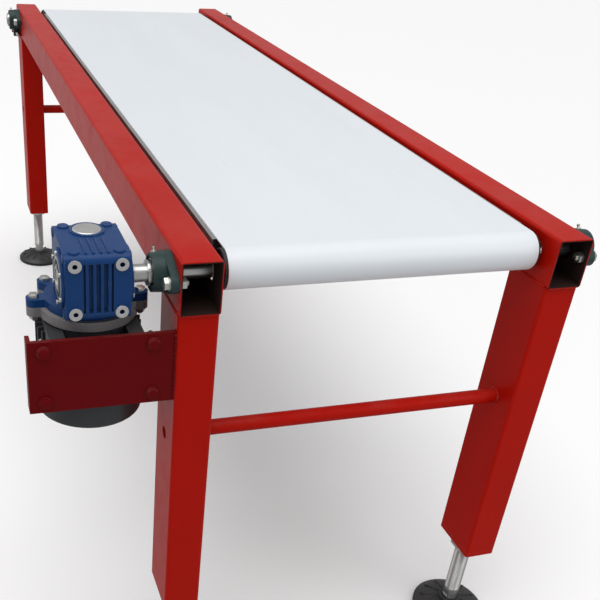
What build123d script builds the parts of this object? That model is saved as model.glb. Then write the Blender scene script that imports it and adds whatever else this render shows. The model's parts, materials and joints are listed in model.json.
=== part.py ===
from build123d import *
import os
from math import cos, pi, radians, sin, sqrt

# Belt conveyor section with a worm gearmotor at the drive end.
# X runs along the belt from the drive end, Y across it with the gearmotor on +Y, Z up from the floor.
# All sizes are in millimetres.

# --- Frame ---
rail_length = 2000.0
side_gap = 15.0  # belt edge to the rail
rail_width = 60.0
rail_height = 80.0
rail_wall = 3.0
rail_corner = 5.0  # outer corner radius of the hollow sections
shaft_clearance = 4.0  # around the shafts where they pass through the rails
leg_depth = 100.0  # along X
leg_length = 560.0  # rail underside to the underside of the foot plate
leg_wall = 3.0
leg_setback = 4.0  # leg face behind the rail end
cross_bar_r = 12.5
cross_bar_wall = 2.5
cross_bar_drop = 305.0  # bar axis below the rail top

# --- Levelling feet ---
foot_height = 185.0  # floor to the underside of the foot plate
foot_plate = 8.0
spindle_r = 15.0
spindle_above_plate = 60.0
spindle_flats = 24.0  # across the two spanner flats
spindle_flat_height = 14.0
pad_r = 70.0
pad_rim = 11.0
pad_height = 27.0
pad_socket_r = 22.0
pad_socket_height = 34.0
pad_socket_depth = 16.0
spindle_flat_gap = 4.0  # pad socket to the flats on the spindle
jam_nut_flats = 46.0
jam_nut_height = 15.0

# --- Belt, bed and drums ---
belt_width = 500.0
belt_thickness = 2.0
belt_drop = 4.0  # belt top below the rail top
belt_gap = 0.3  # between the belt and each drum or roller
drum_r = 28.5
drum_wall = 3.0
drum_overhang = 5.0  # drum face beyond each belt edge
drum_setback = 54.0  # drive axis from the drive end of the rails
tail_setback = 66.0  # tail axis from the tail end of the rails
take_up = 25.0  # tail drum travel towards the drive end
disc_thickness = 8.0
disc_recess = 4.0
shaft_r = 12.5
bed_thickness = 2.0
bed_overhang = 6.0  # bed beyond each belt edge
bed_lip = 18.0
bed_end_gap = 8.0  # bed end to the nearest drum surface
bed_ribs = 4
member_width = 30.0
member_height = 20.0
member_wall = 2.0
member_count = 4
roller_r = 15.0
roller_count = 2
axle_r = 5.0
axle_recess = 1.0  # axle end inside the hanger, clear of the rail
hanger_thickness = 5.0
hanger_length = 44.0
hanger_gap = 4.0  # clear of the rollers, the bed members and the axle ends

# --- Flange bearing units ---
unit_bolt_spacing = 80.0
unit_ear_r = 14.0
unit_boss_r = 29.0
unit_flange = 12.0
unit_height = 30.0
unit_taper = 4.0  # draft angle of the boss
ring_r = 23.5
ring_race = 4.0  # radial thickness of the outer ring
ring_width = 17.0
ring_start = 11.0  # outer ring from the rail face
collar_r = 18.0
collar_start = 7.0
collar_end = 35.0
shaft_stub = 2.0  # shaft past the collar
bolt_r = 5.0
bolt_flats = 16.0
bolt_head = 6.4
bolt_nut = 8.0
bolt_tail = 4.0  # bolt end past its nut
washer_r = 10.0
washer_thickness = 2.0
bolt_hole_gap = 0.5

# --- Belt tensioner ---
screw_r = 4.0
screw_flats = 13.0
screw_head = 5.5
screw_stand_off = 10.0  # screw axis from the rail face
screw_clearance = 4.2  # screw to the edge of the boss
lug_below_screw = 8.0  # screw axis to the end of the lug and of the plate
lug_length = 16.0
lug_margin = 5.0
lug_root = 6.0  # lug depth inside the edge of the boss
tension_plate = 8.0
tension_plate_setback = 6.0
tension_plate_weld = 10.0  # least height of plate on the flat of the rail face

# --- Worm gearbox ---
gearbox_gap = 60.0  # rail face to gearbox
gearbox_width = 96.0  # over the two side covers
gearbox_wall = 2.0  # front face past the side covers
gearbox_end_wall = 6.5  # top and bottom faces past the side covers
gearbox_back = 31.0  # worm axis to the back face
centre_distance = 45.0
gearbox_corner = 12.0
cover_rim = 6.0  # side cover beyond the wheel chamber
cover_plate = 4.0
cover_spigot = 10.0
wheel_clearance = 4.0  # worm wheel to the wall of its chamber
worm_chamber_r = 17.0
wheel_width = 20.0
wheel_teeth = 30
worm_tooth_ratio = 8.0  # wheel radius to tooth height
hub_wall = 5.0
worm_r = 14.0
worm_journal_r = 12.0
worm_length = 52.0
mesh_gap = 0.5
fin_count = 4
fin_width = 4.0
fin_pitch = 10.0
fin_depth = 7.0
pocket_margin_y = 24.0
pocket_margin_z = 12.0
face_pad_r = 9.0
face_pad_height = 3.0
face_hole_r = 3.4
face_hole_depth = 14.0
face_hole_inset = 13.0
cap_r = 20.0
cap_height = 3.0
input_flange_r = 62.0
input_flange = 12.0
ear_r = 11.0
ear_radius = 76.0  # bolt circle of the flange ears
ear_angles = (-90, -45, 45, 90)  # none under the front of the gearbox
flange_bolt_r = 4.0
flange_bolt_flats = 13.0
flange_bolt_head = 5.3
flange_nut = 6.5

# --- Motor ---
motor_flange_r = 69.0
motor_flange = 14.0
motor_shaft_r = 7.0
motor_shaft_engagement = 32.0
motor_body_r = 66.0
motor_bore_r = 58.0
motor_fin_r = 76.0
motor_fin_width = 3.0
motor_fin_start = 14.0  # plain barrel below the flange
motor_fins = 32
motor_body_length = 108.0
motor_end_wall = 8.0
stator_bore_r = 36.0
stator_length = 70.0
stator_foot = 14.0
air_gap = 0.6
rotor_length = 66.0
fan_r = 62.0
fan_hub_r = 14.0
fan_height = 22.0
fan_blades = 7
fan_blade_thickness = 3.0
fan_drop = 5.0  # end wall to the fan
winding_r0 = 40.0
winding_r1 = 54.0
winding_overhang = 8.0
fan_cover_wall = 2.0
fan_cover_depth = 46.0
fan_cover_lap = 2.0
fan_cover_gap = 0.2
grille_slots = 24
grille_inner_r = 22.0
grille_outer_r = 66.0
grille_slot = 5.0
motor_foot_spacing_y = 152.0
motor_foot_spacing_z = 80.0
motor_foot_height = 83.0  # motor axis to the sole of the feet
motor_foot_thickness = 9.0
motor_foot_width = 28.0
motor_foot_length = 22.0
motor_foot_root_angles = (75, 60, 45)  # where the foot runs into the barrel, from its front
terminal_width = 72.0
terminal_height = 60.0
terminal_depth = 30.0
terminal_wall = 3.0
terminal_stand_off = 82.0  # motor axis to the box
terminal_rise = 8.0  # box centre above the middle of the feet
terminal_seat_inset = 8.0
lid_thickness = 6.0
lid_lip = 2.0
gland_r = 9.5
gland_bore_r = 4.5
gland_thread_r = 7.5
gland_flats = 22.0
gland_nut = 6.0
gland_length = 20.0
gland_round = 3.0

# --- Motor bracket ---
bracket_thickness = 6.0
bracket_height = 112.0
bracket_overhang = 22.0  # plate past the outer feet bolts
bracket_lip = 16.0
bracket_bolt_r = 5.0

# --- Fits ---
running_gap = 0.05  # shafts in holes
seat_gap = 0.02  # parts that sit in each other
edge_break = 1.0  # chamfer on turned and moulded edges
thread_chamfer = 1.5
key_width = 8.0
key_height = 7.0
key_length = 40.0

# --- Derived places ---
rail_top_z = foot_height + leg_length + rail_height
rail_bottom_z = rail_top_z - rail_height
frame_width = belt_width + 2 * (side_gap + rail_width)  # over the outer faces of the two rails
rail_face_y = frame_width / 2
inner_face_y = rail_face_y - rail_width
rail_centre_y = rail_face_y - rail_width / 2
rail_centre_z = rail_top_z - rail_height / 2
loop_r = drum_r + belt_gap  # inside of the belt around the drums
axis_z = rail_top_z - belt_drop - belt_thickness - loop_r
drive_x = drum_setback
tail_x = rail_length - tail_setback
leg_centres_x = (leg_setback + leg_depth / 2, rail_length - leg_setback - leg_depth / 2)
leg_tube_z = foot_height + foot_plate
cross_bar_z = rail_top_z - cross_bar_drop
drum_face = belt_width + 2 * drum_overhang
bed_top_z = axis_z + loop_r
bed_x0 = drive_x + drum_r + bed_end_gap
bed_x1 = tail_x - take_up - drum_r - bed_end_gap
member_top_z = bed_top_z - bed_thickness - bed_lip
roller_z = axis_z - loop_r - belt_thickness - belt_gap - roller_r
ring_bore_r = shaft_r + seat_gap
hub_r = shaft_r + hub_wall
screw_z = axis_z - unit_boss_r - screw_r - screw_clearance
wheel_r = centre_distance - worm_r - mesh_gap
wheel_chamber_r = wheel_r + wheel_clearance
cover_r = wheel_chamber_r + cover_rim
gearbox_height = 2 * (cover_r + gearbox_end_wall)
gearbox_front = cover_r + gearbox_wall  # output axis to the front face
gearbox_inner_y = rail_face_y + gearbox_gap
motor_y = gearbox_inner_y + gearbox_width / 2
motor_x = drive_x + centre_distance
gearbox_top_z = axis_z + gearbox_height / 2
gearbox_bottom_z = axis_z - gearbox_height / 2
gearbox_front_x = drive_x - gearbox_front
gearbox_depth = gearbox_front + centre_distance + gearbox_back
housing_width = gearbox_width - 2 * cover_plate
face_hole_y = housing_width / 2 - face_hole_inset
face_hole_z = gearbox_height / 2 - face_hole_inset
motor_flange_z = gearbox_bottom_z - input_flange
motor_top_z = motor_flange_z - motor_flange
motor_bottom_z = motor_top_z - motor_body_length
fan_cover_z = motor_bottom_z - fan_cover_depth
stator_top_z = motor_top_z - stator_foot
motor_feet_z = (motor_top_z + motor_bottom_z) / 2
bracket_x = motor_x - motor_foot_height - bracket_thickness
bracket_end_y = motor_y + motor_foot_spacing_y / 2 + bracket_overhang
hex_corner = 1 / sqrt(3)  # corner radius of a hexagon one unit across flats

pieces = []


def keep(builder, label):
    """Name a finished piece and set it aside for writing."""
    builder.part.label = label
    pieces.append(builder.part)


def across(y):
    """A plane square to Y at y, with local x along X, local y along Z and its normal along -Y."""
    return Plane.XZ.offset(-y)


def outward(x, side):
    """A plane on a rail's outer face at the drum axis height, with its normal pointing away."""
    return Plane(origin=(x, side * rail_face_y, axis_z), x_dir=(1, 0, 0), z_dir=(0, side, 0))


def toward_right(x, y, z):
    """A plane at a point, with its normal along -Y and local x along X."""
    return Plane(origin=(x, y, z), x_dir=(1, 0, 0), z_dir=(0, -1, 0))


def rod(plane, radius, length):
    """Add a round bar that starts on a plane and runs along its normal."""
    with BuildSketch(plane) as section:
        Circle(radius)
    extrude(section.sketch, amount=length)


def tube(plane, outer_r, inner_r, length):
    """Add a round tube that starts on a plane and runs along its normal."""
    with BuildSketch(plane) as section:
        Circle(outer_r)
        Circle(inner_r, mode=Mode.SUBTRACT)
    extrude(section.sketch, amount=length)


def hex_bolt(seat, radius, flats, head, shank):
    """Add a hexagon bolt whose head sits on a plane and whose shank runs back through it."""
    with BuildSketch(seat) as hexagon:
        RegularPolygon(flats * hex_corner, 6)
    extrude(hexagon.sketch, amount=head)
    rod(seat, radius, -shank)


def hex_nut(face, radius, flats, height):
    """Add a nut that starts on a plane and runs along its normal."""
    with BuildSketch(face) as hexagon:
        RegularPolygon(flats * hex_corner, 6)
        Circle(radius + running_gap, mode=Mode.SUBTRACT)
    extrude(hexagon.sketch, amount=height)


# --- Rails ---
def rail(side, label):
    """A hollow section open at both ends, bored for the drive shaft and slotted for the tail shaft."""
    shaft_hole_r = shaft_r + shaft_clearance
    bolt_hole_r = bolt_r + bolt_hole_gap
    bolt_offsets = (-unit_bolt_spacing / 2, unit_bolt_spacing / 2)
    with BuildPart() as part:
        with BuildSketch(Plane.YZ):
            with Locations((side * rail_centre_y, rail_centre_z)):
                RectangleRounded(rail_width, rail_height, rail_corner)
                RectangleRounded(
                    rail_width - 2 * rail_wall,
                    rail_height - 2 * rail_wall,
                    rail_corner - rail_wall,
                    mode=Mode.SUBTRACT,
                )
        extrude(amount=rail_length)
        with BuildSketch(across(side * rail_centre_y)):
            with Locations((drive_x, axis_z)):
                Circle(shaft_hole_r)
            with Locations((tail_x - take_up / 2, axis_z)):
                SlotCenterToCenter(take_up, 2 * shaft_hole_r)
        extrude(amount=rail_width, both=True, mode=Mode.SUBTRACT)
        with BuildSketch(across(side * rail_face_y)):
            for offset_x in bolt_offsets:
                with Locations((drive_x + offset_x, axis_z)):
                    Circle(bolt_hole_r)
                with Locations((tail_x - take_up / 2 + offset_x, axis_z)):
                    SlotCenterToCenter(take_up, 2 * bolt_hole_r)
        extrude(amount=2 * rail_wall, both=True, mode=Mode.SUBTRACT)
    keep(part, label)


rail(1, "left_rail")
rail(-1, "right_rail")


# --- Legs, foot plates and cross bars ---
def leg(x, side, label):
    """A hollow section welded under a rail, holed through both sides for the cross bar."""
    with BuildPart() as part:
        with BuildSketch(Plane.XY.offset(leg_tube_z)):
            with Locations((x, side * rail_centre_y)):
                RectangleRounded(leg_depth, rail_width, rail_corner)
                RectangleRounded(
                    leg_depth - 2 * leg_wall,
                    rail_width - 2 * leg_wall,
                    rail_corner - leg_wall,
                    mode=Mode.SUBTRACT,
                )
        extrude(amount=rail_bottom_z - leg_tube_z)
        with BuildSketch(across(side * rail_centre_y)):
            with Locations((x, cross_bar_z)):
                Circle(cross_bar_r + seat_gap)
        extrude(amount=rail_width, both=True, mode=Mode.SUBTRACT)
    keep(part, label)


ends = dict(zip(("drive", "tail"), leg_centres_x))
sides = {"left": 1, "right": -1}
for end, x in ends.items():
    for side_name, side in sides.items():
        leg(x, side, f"{end}_{side_name}_leg")

leg_places = [(x, side * rail_centre_y) for x in ends.values() for side in sides.values()]

with BuildPart() as foot_plates:
    with BuildSketch(Plane.XY.offset(foot_height)):
        with Locations(*leg_places):
            RectangleRounded(leg_depth, rail_width, rail_corner)
            Circle(spindle_r + running_gap, mode=Mode.SUBTRACT)
    extrude(amount=foot_plate)
keep(foot_plates, "foot_plates")

with BuildPart() as jam_nuts:
    with BuildSketch(Plane.XY.offset(foot_height - jam_nut_height)):
        with Locations(*leg_places):
            RegularPolygon(jam_nut_flats * hex_corner, 6)
            Circle(spindle_r + running_gap, mode=Mode.SUBTRACT)
    extrude(amount=jam_nut_height)
keep(jam_nuts, "foot_jam_nuts")

with BuildPart() as cross_bars:
    with BuildSketch(across(rail_face_y)):
        with Locations(*[(x, cross_bar_z) for x in ends.values()]):
            Circle(cross_bar_r)
            Circle(cross_bar_r - cross_bar_wall, mode=Mode.SUBTRACT)
    extrude(amount=frame_width)
keep(cross_bars, "leg_cross_bars")


# --- Levelling feet ---
def foot(x, y, name):
    """A threaded spindle that stands in a domed pad."""
    with BuildPart() as spindle:
        with BuildSketch(Plane.XY.offset(pad_socket_depth)):
            with Locations((x, y)):
                Circle(spindle_r)
        extrude(amount=leg_tube_z + spindle_above_plate - pad_socket_depth)
        with BuildSketch(Plane.XY.offset(pad_socket_height + spindle_flat_gap)):
            with Locations((x, y)):
                Circle(2 * spindle_r)
                Rectangle(4 * spindle_r, spindle_flats, mode=Mode.SUBTRACT)
        extrude(amount=spindle_flat_height, mode=Mode.SUBTRACT)
        chamfer(spindle.faces().sort_by(Axis.Z)[-1].edges(), thread_chamfer)
    keep(spindle, f"{name}_foot_spindle")

    with BuildPart() as pad:
        with BuildSketch(toward_right(x, y, 0)):
            with BuildLine():
                Polyline((0, 0), (pad_r, 0), (pad_r, pad_rim))
                Spline(
                    (pad_r, pad_rim),
                    (pad_socket_r, pad_height),
                    tangents=((-0.35, 1), (-1, 0.12)),
                )
                Polyline(
                    (pad_socket_r, pad_height),
                    (pad_socket_r, pad_socket_height),
                    (0, pad_socket_height),
                    (0, 0),
                )
            make_face()
        revolve(axis=Axis((x, y, 0), (0, 0, 1)))
        with BuildSketch(Plane.XY.offset(pad_socket_depth)):
            with Locations((x, y)):
                Circle(spindle_r + running_gap)
        extrude(amount=pad_socket_height, mode=Mode.SUBTRACT)
    keep(pad, f"{name}_foot_pad")


for end, x in ends.items():
    for side_name, side in sides.items():
        foot(x, side * rail_centre_y, f"{end}_{side_name}")


# --- Belt, slider bed and its cross members ---
belt_centre_x = (drive_x + tail_x) / 2

with BuildPart() as belt:
    with BuildSketch(across(belt_width / 2)):
        with Locations((belt_centre_x, axis_z)):
            SlotCenterToCenter(tail_x - drive_x, 2 * (loop_r + belt_thickness))
            SlotCenterToCenter(tail_x - drive_x, 2 * loop_r, mode=Mode.SUBTRACT)
    extrude(amount=belt_width)
keep(belt, "conveyor_belt")

bed_width = belt_width + 2 * bed_overhang
bed_web_y = [(i / (bed_ribs - 1) - 0.5) * (bed_width - bed_thickness) for i in range(bed_ribs)]

with BuildPart() as bed:
    with BuildSketch(Plane.YZ.offset(bed_x0)):
        with Locations((0, bed_top_z - bed_thickness / 2)):
            Rectangle(bed_width, bed_thickness)
        with Locations(*[(y, bed_top_z - (bed_thickness + bed_lip) / 2) for y in bed_web_y]):
            Rectangle(bed_thickness, bed_thickness + bed_lip)
    extrude(amount=bed_x1 - bed_x0)
keep(bed, "slider_bed")

member_margin = 2 * member_width
member_span = (bed_x1 - bed_x0 - 2 * member_margin) / (member_count - 1)
member_x = [bed_x0 + member_margin + i * member_span for i in range(member_count)]

with BuildPart() as members:
    with BuildSketch(across(inner_face_y)):
        with Locations(*[(x, member_top_z - member_height / 2) for x in member_x]):
            Rectangle(member_width, member_height)
            Rectangle(
                member_width - 2 * member_wall, member_height - 2 * member_wall, mode=Mode.SUBTRACT
            )
    extrude(amount=2 * inner_face_y)
keep(members, "bed_cross_members")


# --- Return rollers on their axles and hangers ---
roller_x = [
    drive_x + (i + 1) * (tail_x - drive_x) / (roller_count + 1) for i in range(roller_count)
]
hanger_top_z = member_top_z - member_height - hanger_gap
hanger_bottom_z = roller_z - axle_r - hanger_gap
roller_face = 2 * (inner_face_y - hanger_thickness - hanger_gap)

for number, x in enumerate(roller_x, start=1):
    with BuildPart() as roller:
        tube(toward_right(x, roller_face / 2, roller_z), roller_r, axle_r + running_gap, roller_face)
        chamfer(roller.edges().filter_by(GeomType.CIRCLE).group_by(SortBy.RADIUS)[-1], edge_break)
    keep(roller, f"return_roller_{number}")

with BuildPart() as axles:
    axle_end_y = inner_face_y - axle_recess
    with BuildSketch(across(axle_end_y)):
        with Locations(*[(x, roller_z) for x in roller_x]):
            Circle(axle_r)
    extrude(amount=2 * axle_end_y)
keep(axles, "return_roller_axles")

with BuildPart() as hangers:
    for face_y in (inner_face_y, hanger_thickness - inner_face_y):
        with BuildSketch(across(face_y)):
            for x in roller_x:
                with Locations((x, (hanger_top_z + hanger_bottom_z) / 2)):
                    RectangleRounded(hanger_length, hanger_top_z - hanger_bottom_z, axle_r)
                with Locations((x, roller_z)):
                    Circle(axle_r + seat_gap, mode=Mode.SUBTRACT)
        extrude(amount=hanger_thickness)
keep(hangers, "return_roller_hangers")


# --- Drums ---
def drum(x, end):
    """A drum shell, its two end discs, its through shaft and the inner rings of its bearings."""
    with BuildPart() as shell:
        tube(toward_right(x, drum_face / 2, axis_z), drum_r, drum_r - drum_wall, drum_face)
        chamfer(shell.edges().filter_by(GeomType.CIRCLE).group_by(SortBy.RADIUS)[-1], edge_break)
    keep(shell, f"{end}_drum_shell")

    with BuildPart() as discs:
        for start_y in (drum_face / 2 - disc_recess, disc_thickness + disc_recess - drum_face / 2):
            tube(
                toward_right(x, start_y, axis_z),
                drum_r - drum_wall - seat_gap,
                ring_bore_r,
                disc_thickness,
            )
    keep(discs, f"{end}_drum_discs")

    with BuildPart() as rings:
        for side in sides.values():
            tube(
                outward(x, side).offset(collar_start), collar_r, ring_bore_r, collar_end - collar_start
            )
            tube(
                outward(x, side).offset(ring_start), ring_r - ring_race, ring_bore_r, ring_width
            )
    keep(rings, f"{end}_bearing_inner_rings")


def outer_rings(x, label):
    """The outer bearing rings of both sides."""
    with BuildPart() as part:
        for side in sides.values():
            tube(
                outward(x, side).offset(ring_start),
                ring_r,
                ring_r - ring_race + running_gap,
                ring_width,
            )
    keep(part, label)


def housings(x, label, lugs):
    """Two-bolt flange bearing housings for both sides, with a lug for a tension screw if asked."""
    with BuildPart() as part:
        for side in sides.values():
            face = outward(x, side)
            with BuildSketch(face):
                Circle(unit_boss_r)
                with Locations((-unit_bolt_spacing / 2, 0), (unit_bolt_spacing / 2, 0)):
                    Circle(unit_ear_r)
                make_hull()
            extrude(amount=unit_flange)
            with BuildSketch(face):
                Circle(unit_boss_r)
            extrude(amount=unit_height, taper=unit_taper)
            if lugs:
                lug_start = unit_boss_r - lug_root
                lug_end = axis_z - screw_z + lug_below_screw
                with BuildSketch(face):
                    with Locations((0, side * (lug_start + lug_end) / 2)):
                        Rectangle(lug_length, lug_end - lug_start)
                extrude(amount=screw_stand_off + screw_r + lug_margin)
                with BuildSketch(Plane(
                    origin=(x, side * (rail_face_y + screw_stand_off), screw_z), z_dir=(1, 0, 0)
                )):
                    Circle(screw_r + running_gap)
                extrude(amount=lug_length, both=True, mode=Mode.SUBTRACT)
            with BuildSketch(face):
                Circle(ring_r + seat_gap)
                with Locations((-unit_bolt_spacing / 2, 0), (unit_bolt_spacing / 2, 0)):
                    Circle(bolt_r + bolt_hole_gap)
            extrude(amount=unit_height, mode=Mode.SUBTRACT)
    keep(part, label)


def unit_bolts(x, label):
    """Hexagon bolts through the housings and the rail walls, each with a washer and a nut inside."""
    shank = unit_flange + washer_thickness + rail_wall + bolt_nut + bolt_tail
    with BuildPart() as part:
        for side in sides.values():
            for offset_x in (-unit_bolt_spacing / 2, unit_bolt_spacing / 2):
                face = outward(x + offset_x, side)
                washer = face.offset(unit_flange)
                tube(washer, washer_r, bolt_r / 2, washer_thickness)
                hex_bolt(washer.offset(washer_thickness), bolt_r, bolt_flats, bolt_head, shank)
                hex_nut(face.offset(-rail_wall - bolt_nut), bolt_r, bolt_flats, bolt_nut)
    keep(part, label)


drum(drive_x, "drive")
drum(tail_x, "tail")
outer_rings(drive_x, "drive_bearing_outer_rings")
outer_rings(tail_x, "tail_bearing_outer_rings")
housings(drive_x, "drive_bearing_housings", False)
housings(tail_x, "tail_bearing_housings", True)
unit_bolts(drive_x, "drive_bearing_bolts")
unit_bolts(tail_x, "tail_bearing_bolts")

shaft_end = rail_face_y + collar_end + shaft_stub

# --- Shafts ---
with BuildPart() as tail_shaft:
    rod(toward_right(tail_x, shaft_end, axis_z), shaft_r, 2 * shaft_end)
    chamfer(tail_shaft.edges().filter_by(GeomType.CIRCLE), edge_break)
keep(tail_shaft, "tail_shaft")

with BuildPart() as drive_shaft:
    drive_end_y = gearbox_inner_y + gearbox_width
    rod(toward_right(drive_x, drive_end_y, axis_z), shaft_r, drive_end_y + shaft_end)
    chamfer(drive_shaft.edges().filter_by(GeomType.CIRCLE), edge_break)
    with BuildSketch(Plane.XY.offset(axis_z + shaft_r - key_height / 2)):
        with Locations((drive_x, motor_y)):
            Rectangle(key_width, key_length)
    extrude(amount=key_height, mode=Mode.SUBTRACT)
keep(drive_shaft, "drive_shaft")

with BuildPart() as shaft_key:
    with BuildSketch(Plane.XY.offset(axis_z + shaft_r - key_height / 2)):
        with Locations((drive_x, motor_y)):
            Rectangle(key_width - 2 * seat_gap, key_length - 2 * seat_gap)
    extrude(amount=key_height - seat_gap)
keep(shaft_key, "shaft_key")


# --- Belt tensioners at the tail end ---
plate_x = rail_length - tension_plate_setback - tension_plate
screw_end_x = tail_x - take_up - lug_length
plate_depth = screw_stand_off + screw_r + lug_margin
plate_bottom_z = screw_z - lug_below_screw
plate_top_z = max(screw_z + lug_below_screw, rail_bottom_z + rail_corner + tension_plate_weld)

with BuildPart() as tension_plates:
    for side in sides.values():
        screw_y = side * (rail_face_y + screw_stand_off)
        with BuildSketch(Plane.YZ.offset(plate_x)):
            with Locations((side * (rail_face_y + plate_depth / 2), (plate_bottom_z + plate_top_z) / 2)):
                Rectangle(plate_depth, plate_top_z - plate_bottom_z)
            with Locations((screw_y, screw_z)):
                Circle(screw_r + running_gap, mode=Mode.SUBTRACT)
        extrude(amount=tension_plate)
keep(tension_plates, "tension_plates")

for side_name, side in sides.items():
    with BuildPart() as tension_screw:
        hex_bolt(
            Plane(
                origin=(plate_x + tension_plate, side * (rail_face_y + screw_stand_off), screw_z),
                z_dir=(1, 0, 0),
            ),
            screw_r,
            screw_flats,
            screw_head,
            plate_x + tension_plate - screw_end_x,
        )
    keep(tension_screw, f"{side_name}_tension_screw")


# --- Worm gearbox ---
face_holes = [(y, z) for y in (-face_hole_y, face_hole_y) for z in (-face_hole_z, face_hole_z)]
front_plane = Plane(origin=(gearbox_front_x, motor_y, axis_z), x_dir=(0, -1, 0), z_dir=(-1, 0, 0))
housing_inner_y = gearbox_inner_y + cover_plate

with BuildPart() as gearbox:
    with BuildSketch(across(housing_inner_y)):
        with Locations((gearbox_front_x + gearbox_depth / 2, axis_z)):
            RectangleRounded(gearbox_depth, gearbox_height, gearbox_corner)
    extrude(amount=-housing_width)
    with BuildSketch(front_plane):
        Rectangle(housing_width - 2 * pocket_margin_y, gearbox_height - 2 * pocket_margin_z)
    extrude(amount=-fin_depth, mode=Mode.SUBTRACT)
    with BuildSketch(front_plane.offset(-fin_depth)):
        with GridLocations(fin_pitch, 1, fin_count, 1):
            Rectangle(fin_width, gearbox_height - 2 * pocket_margin_z)
    extrude(amount=fin_depth)
    with BuildSketch(front_plane):
        with Locations(*face_holes):
            Circle(face_pad_r)
    extrude(amount=face_pad_height)
    with BuildSketch(front_plane.offset(face_pad_height)):
        with Locations(*face_holes):
            Circle(face_hole_r)
    extrude(amount=-face_hole_depth, mode=Mode.SUBTRACT)
    with BuildSketch(across(housing_inner_y)):
        with Locations((drive_x, axis_z)):
            Circle(wheel_chamber_r)
    extrude(amount=-housing_width, mode=Mode.SUBTRACT)
    with BuildSketch(Plane.XY.offset(gearbox_bottom_z)):
        with Locations((motor_x, motor_y)):
            Circle(worm_chamber_r)
    extrude(amount=gearbox_height, mode=Mode.SUBTRACT)
keep(gearbox, "gearbox_housing")

with BuildPart() as covers:
    for cover_y, inward in ((gearbox_inner_y, 1), (gearbox_inner_y + gearbox_width, -1)):
        cover = Plane(origin=(drive_x, cover_y, axis_z), x_dir=(1, 0, 0), z_dir=(0, inward, 0))
        tube(cover, cover_r, hub_r + running_gap, cover_plate)
        tube(
            cover.offset(cover_plate),
            wheel_chamber_r - seat_gap,
            hub_r + running_gap,
            cover_spigot,
        )
keep(covers, "gearbox_side_covers")

with BuildPart() as hub:
    hub_start = toward_right(drive_x, gearbox_inner_y + gearbox_width, axis_z)
    tube(hub_start, hub_r, ring_bore_r, gearbox_width)
    with BuildSketch(Plane.XY.offset(axis_z + shaft_r - key_height / 2)):
        with Locations((drive_x, motor_y)):
            Rectangle(key_width, key_length)
    extrude(amount=key_height, mode=Mode.SUBTRACT)
keep(hub, "output_hub")

with BuildPart() as worm_wheel:
    tooth_pitch = 2 * pi * wheel_r / wheel_teeth
    tooth_height = wheel_r / worm_tooth_ratio
    with BuildSketch(toward_right(drive_x, motor_y + wheel_width / 2, axis_z)):
        Circle(wheel_r - tooth_height)
        with PolarLocations(wheel_r - tooth_height, wheel_teeth):
            Rectangle(2 * tooth_height, tooth_pitch / 2)
        Circle(hub_r + seat_gap, mode=Mode.SUBTRACT)
    extrude(amount=wheel_width)
keep(worm_wheel, "worm_wheel")

with BuildPart() as worm:
    rod(Plane(origin=(motor_x, motor_y, gearbox_bottom_z)), worm_journal_r, gearbox_height - cap_height)
    rod(Plane(origin=(motor_x, motor_y, axis_z - worm_length / 2)), worm_r, worm_length)
    with BuildSketch(Plane(origin=(motor_x, motor_y, gearbox_bottom_z))):
        Circle(motor_shaft_r + seat_gap)
    extrude(amount=motor_shaft_engagement, mode=Mode.SUBTRACT)
keep(worm, "worm_shaft")

bearing_depth = (gearbox_height - worm_length) / 2 - cap_height

with BuildPart() as cap:
    cap_base = Plane(origin=(motor_x, motor_y, gearbox_top_z))
    rod(cap_base, cap_r, cap_height)
    chamfer(cap.edges().sort_by(Axis.Z)[-1], edge_break)
    tube(
        cap_base.offset(-bearing_depth),
        worm_chamber_r - seat_gap,
        worm_journal_r + running_gap,
        bearing_depth,
    )
keep(cap, "worm_cap")

ear_places = [(ear_radius * cos(radians(a)), ear_radius * sin(radians(a))) for a in ear_angles]


def flange_outline(radius):
    """A disc with ears for the flange bolts."""
    Circle(radius)
    with Locations(*ear_places):
        Circle(ear_r)
    for angle in ear_angles:
        Rectangle(ear_radius, 2 * ear_r, rotation=angle, align=(Align.MIN, Align.CENTER))
    with Locations(*ear_places):
        Circle(flange_bolt_r + bolt_hole_gap, mode=Mode.SUBTRACT)


motor_axis = Plane(origin=(motor_x, motor_y, 0))

with BuildPart() as input_adapter:
    with BuildSketch(motor_axis.offset(motor_flange_z)):
        flange_outline(input_flange_r)
    extrude(amount=input_flange)
    rod(motor_axis.offset(gearbox_bottom_z), worm_chamber_r - seat_gap, bearing_depth)
    with BuildSketch(motor_axis.offset(motor_flange_z)):
        Circle(worm_journal_r + running_gap)
    extrude(amount=input_flange + bearing_depth, mode=Mode.SUBTRACT)
keep(input_adapter, "gearbox_input_flange")


# --- Motor ---
with BuildPart() as end_shield:
    with BuildSketch(motor_axis.offset(motor_top_z)):
        flange_outline(motor_flange_r)
        Circle(motor_shaft_r + running_gap, mode=Mode.SUBTRACT)
    extrude(amount=motor_flange)
keep(end_shield, "motor_flange")

foot_wall_r = (motor_body_r + motor_bore_r) / 2
foot_sole = -motor_foot_height
foot_outer_y = motor_foot_spacing_y / 2 + motor_foot_width / 2
foot_root = [
    (-foot_wall_r * cos(radians(angle)), foot_wall_r * sin(radians(angle)))
    for angle in motor_foot_root_angles
]
foot_outline = [
    (foot_sole, foot_root[-1][1]),
    (foot_sole, foot_outer_y),
    (foot_sole + motor_foot_thickness, foot_outer_y),
    (foot_sole + motor_foot_thickness, motor_body_r),
    (foot_root[0][0], motor_body_r),
    *foot_root,
]
foot_bolts = [
    (side * motor_foot_spacing_y / 2, motor_feet_z + level * motor_foot_spacing_z / 2)
    for side in (-1, 1)
    for level in (-1, 1)
]
terminal_z = motor_feet_z + terminal_rise
sole_plane = Plane(origin=(bracket_x, motor_y, 0), x_dir=(0, 1, 0), z_dir=(1, 0, 0))

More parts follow.
